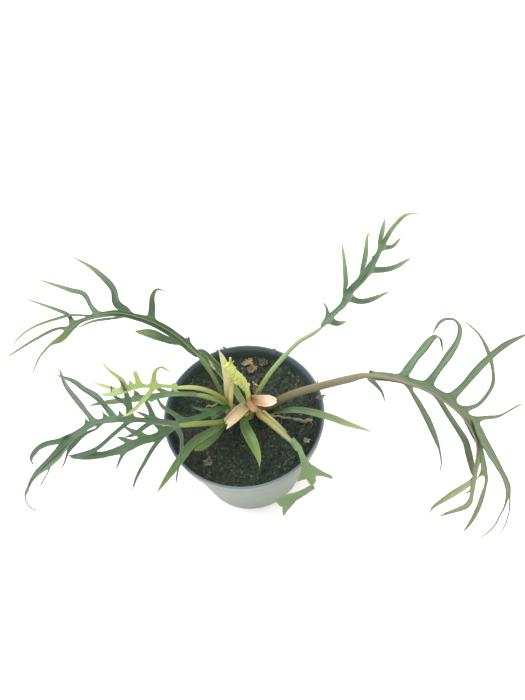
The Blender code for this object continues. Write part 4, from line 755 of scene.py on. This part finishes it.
def pick(piece):
    """Selects this piece alone and makes it the active one."""
    bpy.ops.object.select_all(action="DESELECT")
    piece.select_set(True)
    bpy.context.view_layer.objects.active = piece


def apply_modifiers(piece):
    pick(piece)
    for step in list(piece.modifiers):
        bpy.ops.object.modifier_apply(modifier=step.name)


def give_thickness(piece, thickness, offset=0.0, back=0):
    """Turns a sheet into a shell; its back takes the finish that is so many slots on."""
    shell = piece.modifiers.new("thickness", "SOLIDIFY")
    shell.thickness = thickness * MM
    shell.offset = offset
    shell.material_offset = back
    apply_modifiers(piece)


def round_off(piece, angle=50):
    pick(piece)
    bpy.ops.object.shade_smooth_by_angle(angle=radians(angle))


def put_in_place(piece, slot, *nodes):
    """The piece stands still with the plant and stands for its nodes. Its slot is not used."""
    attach(piece, "root")
    if nodes:
        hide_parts(*nodes)


def join(pieces, name):
    pick(pieces[0])
    for piece in pieces:
        piece.select_set(True)
    bpy.ops.object.join()
    pieces[0].name = name
    return pieces[0]


def template_from(bm):
    """A small mesh to be copied many times."""
    template = bpy.data.meshes.new("template")
    bm.to_mesh(template)
    bm.free()
    return template


def stamp(heap, template, matrix):
    """Adds a copy of a template, placed by the matrix, and gives the copy's vertices."""
    before = len(heap.verts)
    heap.from_mesh(template)
    heap.verts.ensure_lookup_table()
    bmesh.ops.transform(heap, matrix=matrix, verts=heap.verts[before:])
    return heap.verts[before:]


def through(points, count):
    """Evenly spaced points along a smooth curve through the given ones; a fourth value rides along."""
    stops = [Vector(point) for point in points]
    line = [2 * stops[0] - stops[1], *stops, 2 * stops[-1] - stops[-2]]
    dense = []
    for before, start, end, after in zip(line, line[1:], line[2:], line[3:]):
        for part in range(CURVE_DIVISIONS):
            t = part / CURVE_DIVISIONS
            bend = (2 * before - 5 * start + 4 * end - after) * t * t
            swing = (3 * start - before - 3 * end + after) * t ** 3
            dense.append((2 * start + (end - before) * t + bend + swing) / 2)
    dense.append(stops[-1])
    travelled = [0.0]
    for one, other in zip(dense, dense[1:]):
        travelled.append(travelled[-1] + (other.xyz - one.xyz).length)
    spaced = []
    spot = 0
    for index in range(count):
        goal = travelled[-1] * index / (count - 1)
        while spot < len(dense) - 2 and travelled[spot + 1] < goal:
            spot += 1
        share = (goal - travelled[spot]) / (travelled[spot + 1] - travelled[spot])
        spaced.append(dense[spot].lerp(dense[spot + 1], min(1.0, share)))
    return spaced


def length_of(points):
    line = through(points, LENGTH_STOPS)
    return sum((other.xyz - one.xyz).length for one, other in zip(line, line[1:]))


def carried_frames(path, normal):
    """The direction and the upper side's normal at each point, carried along untwisted."""
    frames = []
    for index in range(len(path)):
        ahead = path[min(index + 1, len(path) - 1)].xyz - path[max(index - 1, 0)].xyz
        direction = ahead.normalized()
        normal = (normal - direction * normal.dot(direction)).normalized()
        frames.append((direction, normal))
    return frames


# Blades

class Growth:
    """A mesh under way. Each vertex knows how far it is to the edge, to its lobe's tip and up the leaf."""

    def __init__(self):
        self.bm = bmesh.new()
        layers = self.bm.verts.layers.float
        self.across, self.along, self.reach, self.sharp = [
            layers.new(name) for name in ("across", "along", "reach", "crease_vert")]
        self.paler = 0.0      # how much older the lobes of the lower side look

    def start_row(self, places, closed=False):
        row = [self.bm.verts.new(place) for place in places]
        for one, other in zip(row, row[1:] + row[:1] if closed else row[1:]):
            self.bm.edges.new((one, other))
        return row

    def pull(self, row, places, closed=False):
        """Extrudes the edges that join a row of vertices, and moves the new row to its places."""
        pairs = zip(row, row[1:] + row[:1] if closed else row[1:])
        edges = [self.bm.edges.get(pair) for pair in pairs]
        made = bmesh.ops.extrude_edge_only(self.bm, edges=edges)["geom"]
        fresh = {item for item in made if isinstance(item, bmesh.types.BMVert)}
        new_row = []
        for vertex, place in zip(row, places):
            twin = next(edge.other_vert(vertex) for edge in vertex.link_edges
                        if edge.other_vert(vertex) in fresh)
            twin.co = place
            new_row.append(twin)
        return new_row

    def mark(self, row, across, along, reach=0.0):
        for vertex, share in zip(row, across):
            vertex[self.across] = share
            vertex[self.along] = along
            vertex[self.reach] = reach


def grow_blade(growth, row, path, normal, fold, lobes=(), start=0.0, reach=None):
    """Grows a strip, creased at its midrib, from a row of three vertices to its tip, then its lobes.

    The first two rows still lean the way of the row that it springs from.
    """
    frames = carried_frames(path, normal)
    root_across = (row[0].co - row[2].co).normalized()
    rows = [row]
    reached = [start]
    for index in range(1, len(path)):
        direction, upper = frames[index]
        lean = 0.5 ** index if index < 3 else 0.0
        across = (upper.cross(direction) * (1 - lean) + root_across * lean).normalized()
        centre = path[index].xyz
        half = path[index].w / 2
        crease = upper * half * fold * min(1.0, index / 2)
        places = (centre + across * half, centre - crease, centre - across * half)
        rows.append(growth.pull(rows[-1], places))
        share = index / (len(path) - 1)
        reached.append(start + (1 - start) * share)
        growth.mark(rows[-1], (1.0, 0.0, 1.0), reached[-1], share if reach is None else reach)
    taken = set()
    for piece in lobes:
        grow_lobe(growth, rows, frames, piece, fold, taken, reached, reach)
    if path[-1].w < BLUNT_TIP:
        for vertex in rows[-1]:
            vertex[growth.sharp] = 1.0
        bmesh.ops.pointmerge(growth.bm, verts=rows[-1], merge_co=path[-1].xyz)


def grow_lobe(growth, rows, frames, piece, fold, taken, reached, reach):
    """Splits the nearest free edge of the parent strip at its middle, and grows the lobe there."""
    path = piece["path"]
    first, second = (Vector(point[:3]) for point in path[:2])
    near = min(range(len(rows) - 1), key=lambda spot: (rows[spot][1].co - first).length)
    direction, upper = frames[near]
    leftward = upper.cross(direction).dot(second - rows[near][1].co) > 0
    side = 0 if leftward != piece["under"] else 2
    free = [spot for spot in range(len(rows) - 2) if (spot, side) not in taken]

    def distance(spot):
        return ((rows[spot][side].co + rows[spot + 1][side].co) / 2 - first).length

    spot = min(free, key=distance)
    taken.add((spot, side))
    back, front = rows[spot][side], rows[spot + 1][side]
    middle = bmesh.utils.edge_split(growth.bm.edges.get((back, front)), back, 0.5)[1]
    row = [back, middle, front] if side == 0 else [front, middle, back]
    guide = [(*middle.co, path[0][3]), *path[1:]]
    age = spot / (len(rows) - 1) + (growth.paler if side == 2 else 0.0) if reach is None else reach
    count = max(3, ceil(length_of(guide) / LOBE_STEP) + 1)
    normal = frames[spot][1]
    if piece["facing"]:
        facing = Vector(piece["facing"])
        normal = -facing if facing.dot(normal) < 0 else facing
    start = reached[spot] * LOBE_START
    grow_blade(growth, row, through(guide, count), normal, fold, piece["lobes"], start, age)


def finish_blade(name, growth, facing, finishes, levels=2, ruffle=0.25, thickness=BLADE_THICKNESS):
    """Smooths a grown blade, ruffles it a little and gives it its thickness and underside."""
    bm = growth.bm
    bmesh.ops.recalc_face_normals(bm, faces=bm.faces)
    first = min(bm.faces, key=lambda face: (face.calc_center_median() - facing[0]).length)
    if first.normal.dot(facing[1]) < 0:
        bmesh.ops.reverse_faces(bm, faces=bm.faces)
    piece = piece_from(bm, name, *finishes)
    if levels:
        finer = piece.modifiers.new("finer", "SUBSURF")
        finer.levels = levels
        finer.render_levels = levels
        apply_modifiers(piece)
    long_wave, short_wave = RUFFLES
    for vertex, share in zip(piece.data.vertices, piece.data.attributes["across"].data):
        wave = noise.noise(vertex.co / (long_wave * MM)) + 0.5 * noise.noise(vertex.co / (short_wave * MM))
        vertex.co += vertex.normal * wave * ruffle * MM * (0.3 + share.value)
    give_thickness(piece, thickness, back=len(finishes) - 1)
    round_off(piece)
    return piece


def grow_stem(name, stops, made, section=None, flat=1.0, sides=STEM_SIDES):
    """A tapering stem through (x, y, z, half width) stops, closed at both ends."""
    growth = Growth()
    count = max(4, ceil(length_of(stops) / STEM_STEP) + 1)
    line = through(stops, count)
    frames = carried_frames(line, UP)
    angles = [2 * pi * step / sides for step in range(sides)]

    def ring(index):
        direction, upper = frames[index]
        sideways = upper.cross(direction)
        places = []
        for angle in angles:
            radius = line[index].w * (section(index / (count - 1), angle) if section else 1.0)
            places.append(line[index].xyz + (sideways * cos(angle) + upper * sin(angle) * flat) * radius)
        return places

    row = growth.start_row(ring(0), closed=True)
    foot = row
    growth.mark(row, [0.5] * sides, 0.0)
    for index in range(1, count):
        row = growth.pull(row, ring(index), closed=True)
        growth.mark(row, [abs(cos(angle)) for angle in angles], index / (count - 1))
    growth.bm.faces.new(foot)
    growth.bm.faces.new(row)
    bmesh.ops.recalc_face_normals(growth.bm, faces=growth.bm.faces)
    piece = piece_from(growth.bm, name, made)
    round_off(piece)
    return piece


def start_blade(path, normal=UP):
    """The first row of a blade, its even path, and its frames."""
    growth = Growth()
    line = through(path, max(4, ceil(length_of(path) / ROOT_STEP) + 1))
    direction, upper = carried_frames(line, normal)[0]
    reach = upper.cross(direction) * line[0].w / 2
    row = growth.start_row((line[0].xyz + reach, line[0].xyz, line[0].xyz - reach))
    growth.mark(row, (1.0, 0.0, 1.0), 0.0)
    return growth, row, line, (line[0].xyz, upper)


# The living parts

def make_leaf(name, leaf):
    """A divided leaf: petiole and midrib as one stem, and the lobed blade that they carry.

    A leaf with a rib of its own has it as one stem with the petiole, in the petiole's finish. The
    others have a midrib in the blade's finish, which the petiole only reaches into.
    """
    growth, row, line, facing = start_blade(leaf["rachis"])
    growth.paler = leaf.get("paler", 0.0)
    grow_blade(growth, row, line, UP, leaf["fold"], leaf["lobes"])
    finishes = (finish(leaf["blade"]), finish(leaf.get("under", "underside")))
    parts = [finish_blade(name + "_blade", growth, facing, finishes)]
    if name == "leaf_front_right":
        parts += make_fishtail(finishes)
        parts.append(grow_stem("sheath_wing", SHEATH_WING, finish("wing_petiole"), flat=0.5))
    thick, thin = leaf["girth"]
    petiole = leaf["petiole"]
    stops = [(*place, thick + (thin - thick) * index / len(petiole)) for index, place in enumerate(petiole)]
    for index, more in enumerate(PETIOLE_FOOT):
        stops[index] = (*petiole[index], stops[index][3] * more)
    ridge = through([point[:3] for point in leaf["rachis"]], MIDRIB_STOPS)
    aside, lift, stout = leaf.get("rib", PLAIN_RIB)
    midrib = []
    for index, (place, (direction, upper)) in enumerate(zip(ridge, carried_frames(ridge, UP))):
        stoutness = stout if index else max(stout, PLAIN_RIB[2])
        radius = max(LEAST_MIDRIB, thin * stoutness * (0.9 - 0.15 * index))
        ease = min(1.0, index / 2)
        midrib.append((*(place + upper.cross(direction) * aside * ease + upper * radius * lift), radius))
    if "rib" in leaf:
        stops += midrib
    else:
        stops += midrib[:2]
        parts.append(grow_stem(name + "_midrib", midrib, finishes[0]))
    parts.append(grow_stem(name + "_stem", stops, finish(leaf["stem"])))
    put_in_place(join(parts, "fine_" + name), leaf["slot"], name)


def make_fishtail(finishes):
    """The front leaf's flat end: each outline is filled, divided finely and smoothed inside."""
    parts = []
    for number, outline in enumerate(FISHTAIL):
        growth = Growth()
        bm = growth.bm
        growth.start_row([Vector(place) for place in outline], closed=True)
        bmesh.ops.triangle_fill(bm, edges=bm.edges, use_beauty=True)
        bmesh.ops.subdivide_edges(bm, edges=bm.edges, cuts=3, use_grid_fill=True)
        inner = [vertex for vertex in bm.verts if not vertex.is_boundary]
        rim = [vertex.co.copy() for vertex in bm.verts if vertex.is_boundary]
        for turn in range(8):
            bmesh.ops.smooth_vert(bm, verts=inner, factor=0.5, use_axis_x=True, use_axis_y=True,
                                  use_axis_z=True)
        for vertex in bm.verts:
            depth = min((vertex.co - place).length for place in rim)
            vertex[growth.across] = max(0.2, 1 - depth / FISHTAIL_MARGIN)
        facing = (Vector(outline[0]), UP)
        parts.append(finish_blade(f"fishtail_{number}", growth, facing, finishes, levels=0, ruffle=0.5))
    return parts


def make_strap(name, strap):
    """An undivided leaf, creased and smoothed."""
    growth, row, line, facing = start_blade(strap["path"])
    grow_blade(growth, row, line, UP, strap["fold"])
    finishes = (finish(strap["top"]), finish("underside"))
    piece = finish_blade("fine_" + name, growth, facing, finishes, levels=3, ruffle=0.3)
    put_in_place(piece, strap["slot"], name)


def grow_scale(name, scale):
    """A papery scale, scooped along its length, and torn at its end where it has split.

    A darker band runs along it, given by the place of its middle across, its half width, and its end.
    On the right bract the band is painted shadow in the groove of its scoop; on the left bract it is a
    stripe of the scale's own colour.
    """
    growth = Growth()
    rows = [tuple(Vector(edge) for edge in pair) for pair in scale["rows"]]
    last = len(rows) - 1
    shares = [2 * column / (SCALE_COLUMNS - 1) - 1 for column in range(SCALE_COLUMNS)]
    middle, width, end = scale["streak_and_groove_shade"]

    def places(index):
        left, right = rows[index]
        ahead = rows[min(index + 1, last)][0] - rows[max(index - 1, 0)][0]
        down = ahead.cross(left - right).normalized()
        if down.z > 0:
            down = -down
        depth = scale["scoop"] * (1.3 - 0.6 * index / last)
        sag = 0.7 * max(0.0, middle) if index < len(rows) / 2 else 0.0
        line = [left.lerp(right, (share + 1) / 2) + down * depth * (1 - share * share) * (1 + sag * share)
                for share in shares]
        if scale["torn"] and index == last:
            line = [place + ahead.normalized() * tear for place, tear in zip(line, scale["torn"])]
        return line

    for index in range(len(rows)):
        row = growth.pull(row, places(index)) if index else growth.start_row(places(0))
        growth.mark(row, [abs(share) for share in shares], index / last)
        for vertex, share in zip(row, shares):
            vertex[growth.reach] = max(0.0, 1 - abs(share - middle) / width) if index / last <= end else 0.0
    if scale["torn"]:
        for vertex in row:
            vertex[growth.sharp] = 1.0
    facing = ((rows[0][0] + rows[0][1]) / 2, UP)
    return finish_blade("fine_" + name, growth, facing, (finish(scale["finish"]),), levels=3, ruffle=0.35,
                        thickness=SCALE_THICKNESS)


def make_scales():
    for name, scale in SCALES.items():
        piece = grow_scale(name, scale)
        if name == "bract_left":
            piece = join([piece] + [grow_scale("old_scale", old) for old in OLD_SCALES], "fine_" + name)
        put_in_place(piece, "bract", name)


def keeled(share, angle):
    """Across the spear: a low keel down its front, and a crease beside it."""
    swell, sink = [size * max(0.0, 1 - abs(angle - middle) / width)
                   for size, middle, width in (KEEL, CREASE)]
    return 1 + swell - sink


def rolled(share, angle):
    """Across the new leaf: five low edges that wind round it."""
    return 0.92 + 0.08 * sin(5 * angle + 30 * share)


def make_spear():
    """The pale sheath that stands beside the new leaf, folded flat, with the cut stub of another."""
    spear = grow_stem("fine_spear_cataphyll", SPEAR, finish("cream_scale"), keeled, flat=0.5, sides=28)
    put_in_place(spear, "cream_sheath", "spear_cataphyll")
    stub = grow_stem("fine_stub_cataphyll", STUB, finish("tan_scale"), flat=0.75, sides=16)
    put_in_place(stub, "tan_sheath", "stub_cataphyll")


def fold_template():
    """One crumpled lobe: a small bean, thinner at one end and bent down at both."""
    bm = bmesh.new()
    bmesh.ops.create_uvsphere(bm, u_segments=12, v_segments=8, radius=1.0)
    for vertex in bm.verts:
        x, y, z = vertex.co
        vertex.co = Vector((x, y * (1 - 0.3 * x), z - 0.45 * x * x))
    return template_from(bm)


def make_new_leaf():
    """The new leaf, still rolled: its lobes lie crumpled against the roll in rows of small folds."""
    rng = random.Random(7)
    lime = finish("lime_leaf")
    parts = [grow_stem("new_leaf_roll", NEW_LEAF, finish("lime_stem"), rolled, 0.8)]
    template = fold_template()
    line = through(NEW_LEAF, 80)
    frames = carried_frames(line, UP)
    heap = bmesh.new()
    shade = heap.verts.layers.float.new("reach")
    for number in range(NEW_LEAF_FOLDS):
        share = 0.3 + 0.7 * (number / (NEW_LEAF_FOLDS - 1)) ** 0.85
        spot = round(share * (len(line) - 1))
        direction, upper = frames[spot]
        width = line[spot].w
        outward = upper.cross(direction)
        angle = FOLD_ANGLES[number % len(FOLD_ANGLES)] + rng.uniform(-0.5, 0.5)
        away = outward * cos(angle) + upper * sin(angle)
        along_skin = away.cross(direction)
        slant = (along_skin + direction * rng.uniform(-0.9, -0.3)).normalized()
        turn = Matrix((slant, away.cross(slant), away)).transposed().to_4x4()
        grown = 0.55 + 0.45 * min(1.0, width / 3)
        size = Vector((rng.uniform(1.5, 3.0), rng.uniform(0.6, 1.1), rng.uniform(0.8, 1.7))) * grown
        skin = (outward * cos(angle) + upper * sin(angle) * 0.8) * width
        place = line[spot].xyz + skin * rng.uniform(0.82, 1.0)
        copy = stamp(heap, template, Matrix.Translation(place) @ turn @ Matrix.Diagonal((*size, 1)))
        lightness = rng.random()
        for vertex in copy:
            vertex[shade] = lightness
    bpy.data.meshes.remove(template)
    folds = piece_from(heap, "new_leaf_folds", lime)
    round_off(folds)
    parts.append(folds)
    for number, finger in enumerate(NEW_LEAF_FINGERS):
        parts.append(grow_stem(f"new_leaf_finger_{number}", finger, lime))
    put_in_place(join(parts, "fine_unfurling_leaf"), "young_leaf", "unfurling_leaf")


# The pot and what fills it

def draw_up(name, sides, rings, pointed=False):
    """A round piece, drawn up in edit mode: a disc's rim is extruded from one (radius, height) to the
    next, and the last rim is filled or drawn to a point."""
    bpy.ops.object.select_all(action="DESELECT")
    radius, height = rings[0]
    bpy.ops.mesh.primitive_circle_add(vertices=sides, radius=radius * MM, fill_type="NGON",
                                      location=(0, 0, height * MM))
    piece = bpy.context.object
    piece.name = name
    bpy.ops.object.transform_apply(location=True, rotation=True, scale=True)
    bpy.ops.object.mode_set(mode="EDIT")
    bpy.ops.mesh.select_mode(type="EDGE")
    bpy.ops.mesh.select_all(action="SELECT")
    for (radius, height), (next_radius, next_height) in zip(rings, rings[1:]):
        rise = (0, 0, (next_height - height) * MM)
        bpy.ops.mesh.extrude_edges_move(TRANSFORM_OT_translate={"value": rise})
        grow = next_radius / radius
        bpy.ops.transform.resize(value=(grow, grow, 1), center_override=(0, 0, next_height * MM))
    if pointed:
        bpy.ops.mesh.merge(type="CENTER")
    else:
        bpy.ops.mesh.edge_face_add()
    bpy.ops.object.mode_set(mode="OBJECT")
    return piece


def wall_radius(height):
    """The pot wall's outer radius below the rim band."""
    under_band = POT_RIM_RADIUS - RIM_STEP - RIM_LEAN
    return POT_BASE_RADIUS + (under_band - POT_BASE_RADIUS) * height / (POT_HEIGHT - RIM_BAND)


def make_pot():
    """The pot, drawn up from its foot: outer wall, stepped rim band, rolled lip, and down inside."""
    band_low = POT_HEIGHT - RIM_BAND
    band_radius = POT_RIM_RADIUS - RIM_LEAN
    under_band = wall_radius(band_low)
    outer = [(POT_BASE_RADIUS - 1.5, 0), (POT_BASE_RADIUS - 0.4, 0.3), (wall_radius(1.5), 1.5),
             (wall_radius(POT_MIDDLE), POT_MIDDLE), (under_band - 0.2, band_low - 2),
             (under_band, band_low - 1), (band_radius - 0.6, band_low - 0.3), (band_radius, band_low + 0.4),
             (POT_RIM_RADIUS - 0.1, POT_HEIGHT - 1.2), (POT_RIM_RADIUS + 0.15, POT_HEIGHT - 0.7)]
    lip = [(POT_RIM_RADIUS, POT_HEIGHT - 0.2), (POT_RIM_RADIUS - 0.6, POT_HEIGHT),
           (POT_RIM_RADIUS - 1.3, POT_HEIGHT - 0.2), (POT_RIM_RADIUS - POT_WALL, POT_HEIGHT - 0.9)]
    inner = [(under_band - POT_WALL, band_low), (wall_radius(POT_MIDDLE) - POT_WALL, POT_MIDDLE),
             (wall_radius(POT_FLOOR + 1.5) - POT_WALL, POT_FLOOR + 1.5),
             (wall_radius(POT_FLOOR) - POT_WALL - 1.5, POT_FLOOR)]
    pot = draw_up("fine_pot", POT_SIDES, outer + lip + inner)
    shade = pot.data.attributes.new("inside", "FLOAT", "POINT")
    for vertex in pot.data.vertices:
        reach = Vector(vertex.co.xy).length / MM
        height = vertex.co.z / MM
        outside = reach > wall_radius(min(height, band_low)) - 0.7 and height < band_low + 1
        if height > band_low + 1:
            outside = reach > band_radius - 0.3 and height < POT_HEIGHT - 0.9
        shade.data[vertex.index].value = 0.0 if outside or height < POT_FLOOR - 0.1 else 1.0
    cutters = []
    for hole in range(DRAIN_HOLES):
        angle = 2 * pi * hole / DRAIN_HOLES
        out = DRAIN_CIRCLE_RADIUS * MM
        place = (out * cos(angle), out * sin(angle), POT_FLOOR / 2 * MM)
        bpy.ops.mesh.primitive_cylinder_add(vertices=28, radius=DRAIN_HOLE_RADIUS * MM, depth=6 * MM,
                                            location=place)
        cutters.append(bpy.context.object)
    holes = join(cutters, "drain_holes")
    pick(pot)
    cut = pot.modifiers.new("holes", "BOOLEAN")
    cut.object = holes
    apply_modifiers(pot)
    bpy.data.objects.remove(holes, do_unlink=True)
    pot.data.materials.append(pot_plastic())
    round_off(pot, 35)
    put_in_place(pot, "outer_plastic", "pot")


def soil_height(x, y):
    """The mix's uneven surface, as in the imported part, with finer lumps on it."""
    waves = sin(x / 5.3 + 0.7) * cos(y / 6.1) + 0.6 * sin(x / 2.9 - y / 3.7) + 0.5 * cos(y / 8.3 + x / 9.1)
    lumps = noise.turbulence(Vector((x, y, 0)) / 6, 4, False)
    crumbs = noise.turbulence(Vector((x, y, 9)) / 1.6, 2, True)
    return SOIL_TOP + SOIL_ROUGHNESS * waves + 2.6 * (lumps - 0.5) + 0.9 * (crumbs - 0.5)


def make_soil():
    """The potting mix: a plug that fills the pot, its top drawn in ring by ring and roughened."""
    edge = wall_radius(SOIL_TOP) - POT_WALL - 0.2
    foot = wall_radius(POT_FLOOR) - POT_WALL - 1.8
    rings = [(foot, POT_FLOOR + 0.3), (foot + 1.4, POT_FLOOR + 2.0), (edge - 0.3, SOIL_TOP - 3)]
    radius = edge
    while radius > SOIL_RING_STEP:
        rings.append((radius, SOIL_TOP))
        radius -= SOIL_RING_STEP
    soil = draw_up("fine_soil", SOIL_SIDES, rings, pointed=True)
    for vertex in soil.data.vertices:
        x, y, z = vertex.co / MM
        if z > SOIL_TOP - 0.1:
            bank = max(0.0, (Vector((x, y)).length - edge + SOIL_BANK) / SOIL_BANK)
            vertex.co.z = (soil_height(x, y) + bank) * MM
    soil.data.materials.append(finish("wet_mix"))
    round_off(soil, 70)
    put_in_place(soil, "soil", "soil")
    return soil


def make_shoot(name, shoot):
    """A short shoot, wrapped in the stubs of old sheaths, with a blunt top between the petioles."""
    x, y = shoot["place"]
    radius, top = shoot["radius"], shoot["top"]
    rings = [(radius * 0.8, SOIL_TOP - 12)]
    height = SOIL_TOP - 6
    while height < top - 5:
        rings += [(radius * 0.9, height), (radius * 1.02, height + 2.2), (radius * 0.88, height + 2.6)]
        height += SHEATH_STEP
    rings += [(radius * 0.85, top - 3.0), (radius * 0.62, top - 1.0), (radius * 0.3, top)]
    piece = draw_up("fine_" + name, 28, rings)
    for vertex in piece.data.vertices:
        sway = noise.noise_vector(vertex.co / (5 * MM)) * 0.7 * MM
        vertex.co += sway + Vector((x, y, 0)) * MM
    piece.data.materials.append(finish("shoot_skin"))
    round_off(piece, 60)
    put_in_place(piece, "shoot", name)


def on_mix(surface, x, y):
    """The place on the mix under a point, in metres, or None beside it."""
    return surface.ray_cast(Vector((x, y, 2 * SOIL_TOP)) * MM, -UP)[0]


def crumb_template(kind, rng):
    """One crumb, sprig or flake of chaff, about a millimetre across."""
    bm = bmesh.new()
    if kind == "moss":
        for leaflet in range(5):
            turn = Matrix.Rotation(2 * pi * leaflet / 5, 3, "Z")
            corners = [turn @ Vector(corner) for corner in MOSS_LEAFLET]
            bm.faces.new([bm.verts.new(corner) for corner in corners])
    else:
        bmesh.ops.create_icosphere(bm, subdivisions=1, radius=0.6)
        for vertex in bm.verts:
            vertex.co *= 1 + rng.uniform(-0.25, 0.25)
        if kind == "chaff":
            bmesh.ops.scale(bm, vec=(1.0, 0.35, 0.25), verts=bm.verts)
    return template_from(bm)


def scatter(name, kind, count, sizes, slot, surface, seed, clumped=False):
    """Copies one small shape over the mix, each copy turned and sized its own way."""
    rng = random.Random(seed)
    template = crumb_template(kind, rng)
    heap = bmesh.new()
    placed = 0
    while placed < count:
        reach = CRUMB_REACH * rng.random() ** 0.5
        angle = rng.uniform(0, 2 * pi)
        x, y = reach * cos(angle), reach * sin(angle)
        if any((Vector((x, y)) - Vector(s["place"])).length < s["radius"] + 1 for s in SHOOTS.values()):
            continue
        if clumped and noise.noise(Vector((x, y, seed)) / 9) < rng.uniform(-0.25, 0.35):
            continue
        spot = on_mix(surface, x, y)
        if spot is None:
            continue
        size = rng.uniform(*sizes) * rng.uniform(0.7, 1.0)
        turn = Matrix.Rotation(rng.uniform(0, 2 * pi), 4, "Z")
        if kind != "moss":
            turn = turn @ Matrix.Rotation(rng.uniform(-0.9, 0.9), 4, "X")
        stretch = Matrix.Diagonal((size, size * rng.uniform(0.6, 1.0), size * rng.uniform(0.6, 1.0), 1))
        stamp(heap, template, Matrix.Translation(spot / MM) @ turn @ stretch)
        placed += 1
    piece = piece_from(heap, name, finish(kind))
    if kind == "moss":
        give_thickness(piece, MOSS_THICKNESS, -1.0)
    bpy.data.meshes.remove(template)
    put_in_place(piece, slot)


def make_flake(name, surface, look, place, size, turned, curl, seed):
    """A dry, curled bit of leaf with a torn outline that lies on the mix."""
    x, y = place
    long, wide = size
    bpy.ops.object.select_all(action="DESELECT")
    bpy.ops.mesh.primitive_grid_add(x_subdivisions=16, y_subdivisions=12, size=1)
    piece = bpy.context.object
    piece.name = "fine_" + name
    turn = Matrix.Rotation(radians(turned), 3, "Z")
    for vertex in piece.data.vertices:
        u, v = vertex.co.x * 2, vertex.co.y * 2
        ragged = 0.8 + 0.45 * noise.noise(Vector((u * 1.9, v * 1.9, seed)))
        round_in = 1 - 0.28 * (u * u * v * v)
        aside = turn @ Vector((u * long / 2 * ragged * round_in, v * wide / 2 * ragged * round_in, 0))
        rest = on_mix(surface, x + aside.x, y + aside.y).z / MM
        lift = curl * (u * u + v * v) * (1 + noise.noise(Vector((u, v, seed + 5))))
        height = rest + 0.5 + lift + 0.9 * noise.noise(Vector((u * 2, v * 2, seed + 9)))
        vertex.co = Vector((x + aside.x, y + aside.y, height)) * MM
    give_thickness(piece, FLAKE_THICKNESS)
    piece.data.materials.append(finish(look))
    round_off(piece, 60)
    put_in_place(piece, "dry", name)


def make_root(surface):
    """The old root, knotted and wandering, thicker at its end, with side roots as fine as thread."""
    rng = random.Random(5)
    bark = finish("root_bark")
    stops = []
    for index, place in enumerate(through([(x, y, 0) for x, y in ROOT_PATH], ROOT_STOPS)):
        height = on_mix(surface, place.x, place.y).z / MM
        thicker = 0.6 * index / (ROOT_STOPS - 1)
        aside = rng.uniform(-0.5, 0.5)
        stops.append((place.x, place.y + aside, height + 0.7, rng.uniform(0.5, 1.1) + thicker))
    parts = [grow_stem("old_root_main", stops, bark)]
    for side in SIDE_ROOTS:
        x, y = stops[side][:2]
        turn = rng.uniform(-1.2, 1.2)
        thread = []
        for step in range(5):
            place = (x + 1.7 * step * cos(turn), y + 1.7 * step * sin(turn))
            thread.append((*place, on_mix(surface, *place).z / MM + 0.4, 0.35 - 0.05 * step))
            turn += rng.uniform(-0.6, 0.6)
        parts.append(grow_stem(f"old_root_side_{side}", thread, bark))
    put_in_place(join(parts, "fine_old_root"), "dry", "old_root")


def make_curls():
    """Dry threads of old leaf edge: by the curled leaf, on the mix and by the shoots."""
    parts = [grow_stem(f"curl_{number}", curl, finish(look), flat=0.4, sides=8)
             for number, (look, curl) in enumerate(CURLS)]
    put_in_place(join(parts, "dry_curls"), "dry")


def make_tufts():
    """Fibres of the mix that have caught on the pot's lip."""
    rng = random.Random(17)
    parts = []
    for x, y, spread, count, reach in TUFTS:
        for number in range(count):
            aside = [rng.uniform(-spread, spread) for axis in "xy"]
            start = Vector((x + aside[0], y + aside[1], POT_HEIGHT - 0.2))
            start.xy = start.xy.normalized() * (POT_RIM_RADIUS - 0.8)
            turn = rng.uniform(0, 2 * pi)
            climb = rng.uniform(0.0, 0.5)
            stops = [(*start, FIBRE_RADIUS)]
            for step in range(3):
                start = start + Vector((cos(turn), sin(turn), climb)) * reach / 3
                turn += rng.uniform(-0.9, 0.9)
                climb -= 0.25
                stops.append((start.x, start.y, max(start.z, POT_HEIGHT + 0.1), FIBRE_RADIUS - 0.1 * step))
            parts.append(grow_stem(f"fibre_{len(parts)}", stops, finish("rim_fibre"), sides=6))
    put_in_place(join(parts, "rim_fibres"), "dry")


# Putting it together

noise.seed_set(NOISE_SEED)
set_camera()
make_pot()
soil = make_soil()
surface = BVHTree.FromObject(soil, bpy.context.evaluated_depsgraph_get())
for name, shoot in SHOOTS.items():
    make_shoot(name, shoot)
for name, leaf in LEAVES.items():
    make_leaf(name, leaf)
for name, strap in STRAPS.items():
    make_strap(name, strap)
make_scales()
make_spear()
make_new_leaf()
for name, flake in FLAKES.items():
    make_flake(name, surface, *flake)
make_root(surface)
make_curls()
make_tufts()
scatter("crumbs", "peat_crumb", CRUMBS, (0.8, 2.6), "soil", surface, 11)
scatter("moss", "moss", MOSS_SPRIGS, (0.6, 1.3), "soil", surface, 12, clumped=True)
scatter("chaff", "chaff", CHAFF, (0.5, 1.5), "dry", surface, 13)
set_light()
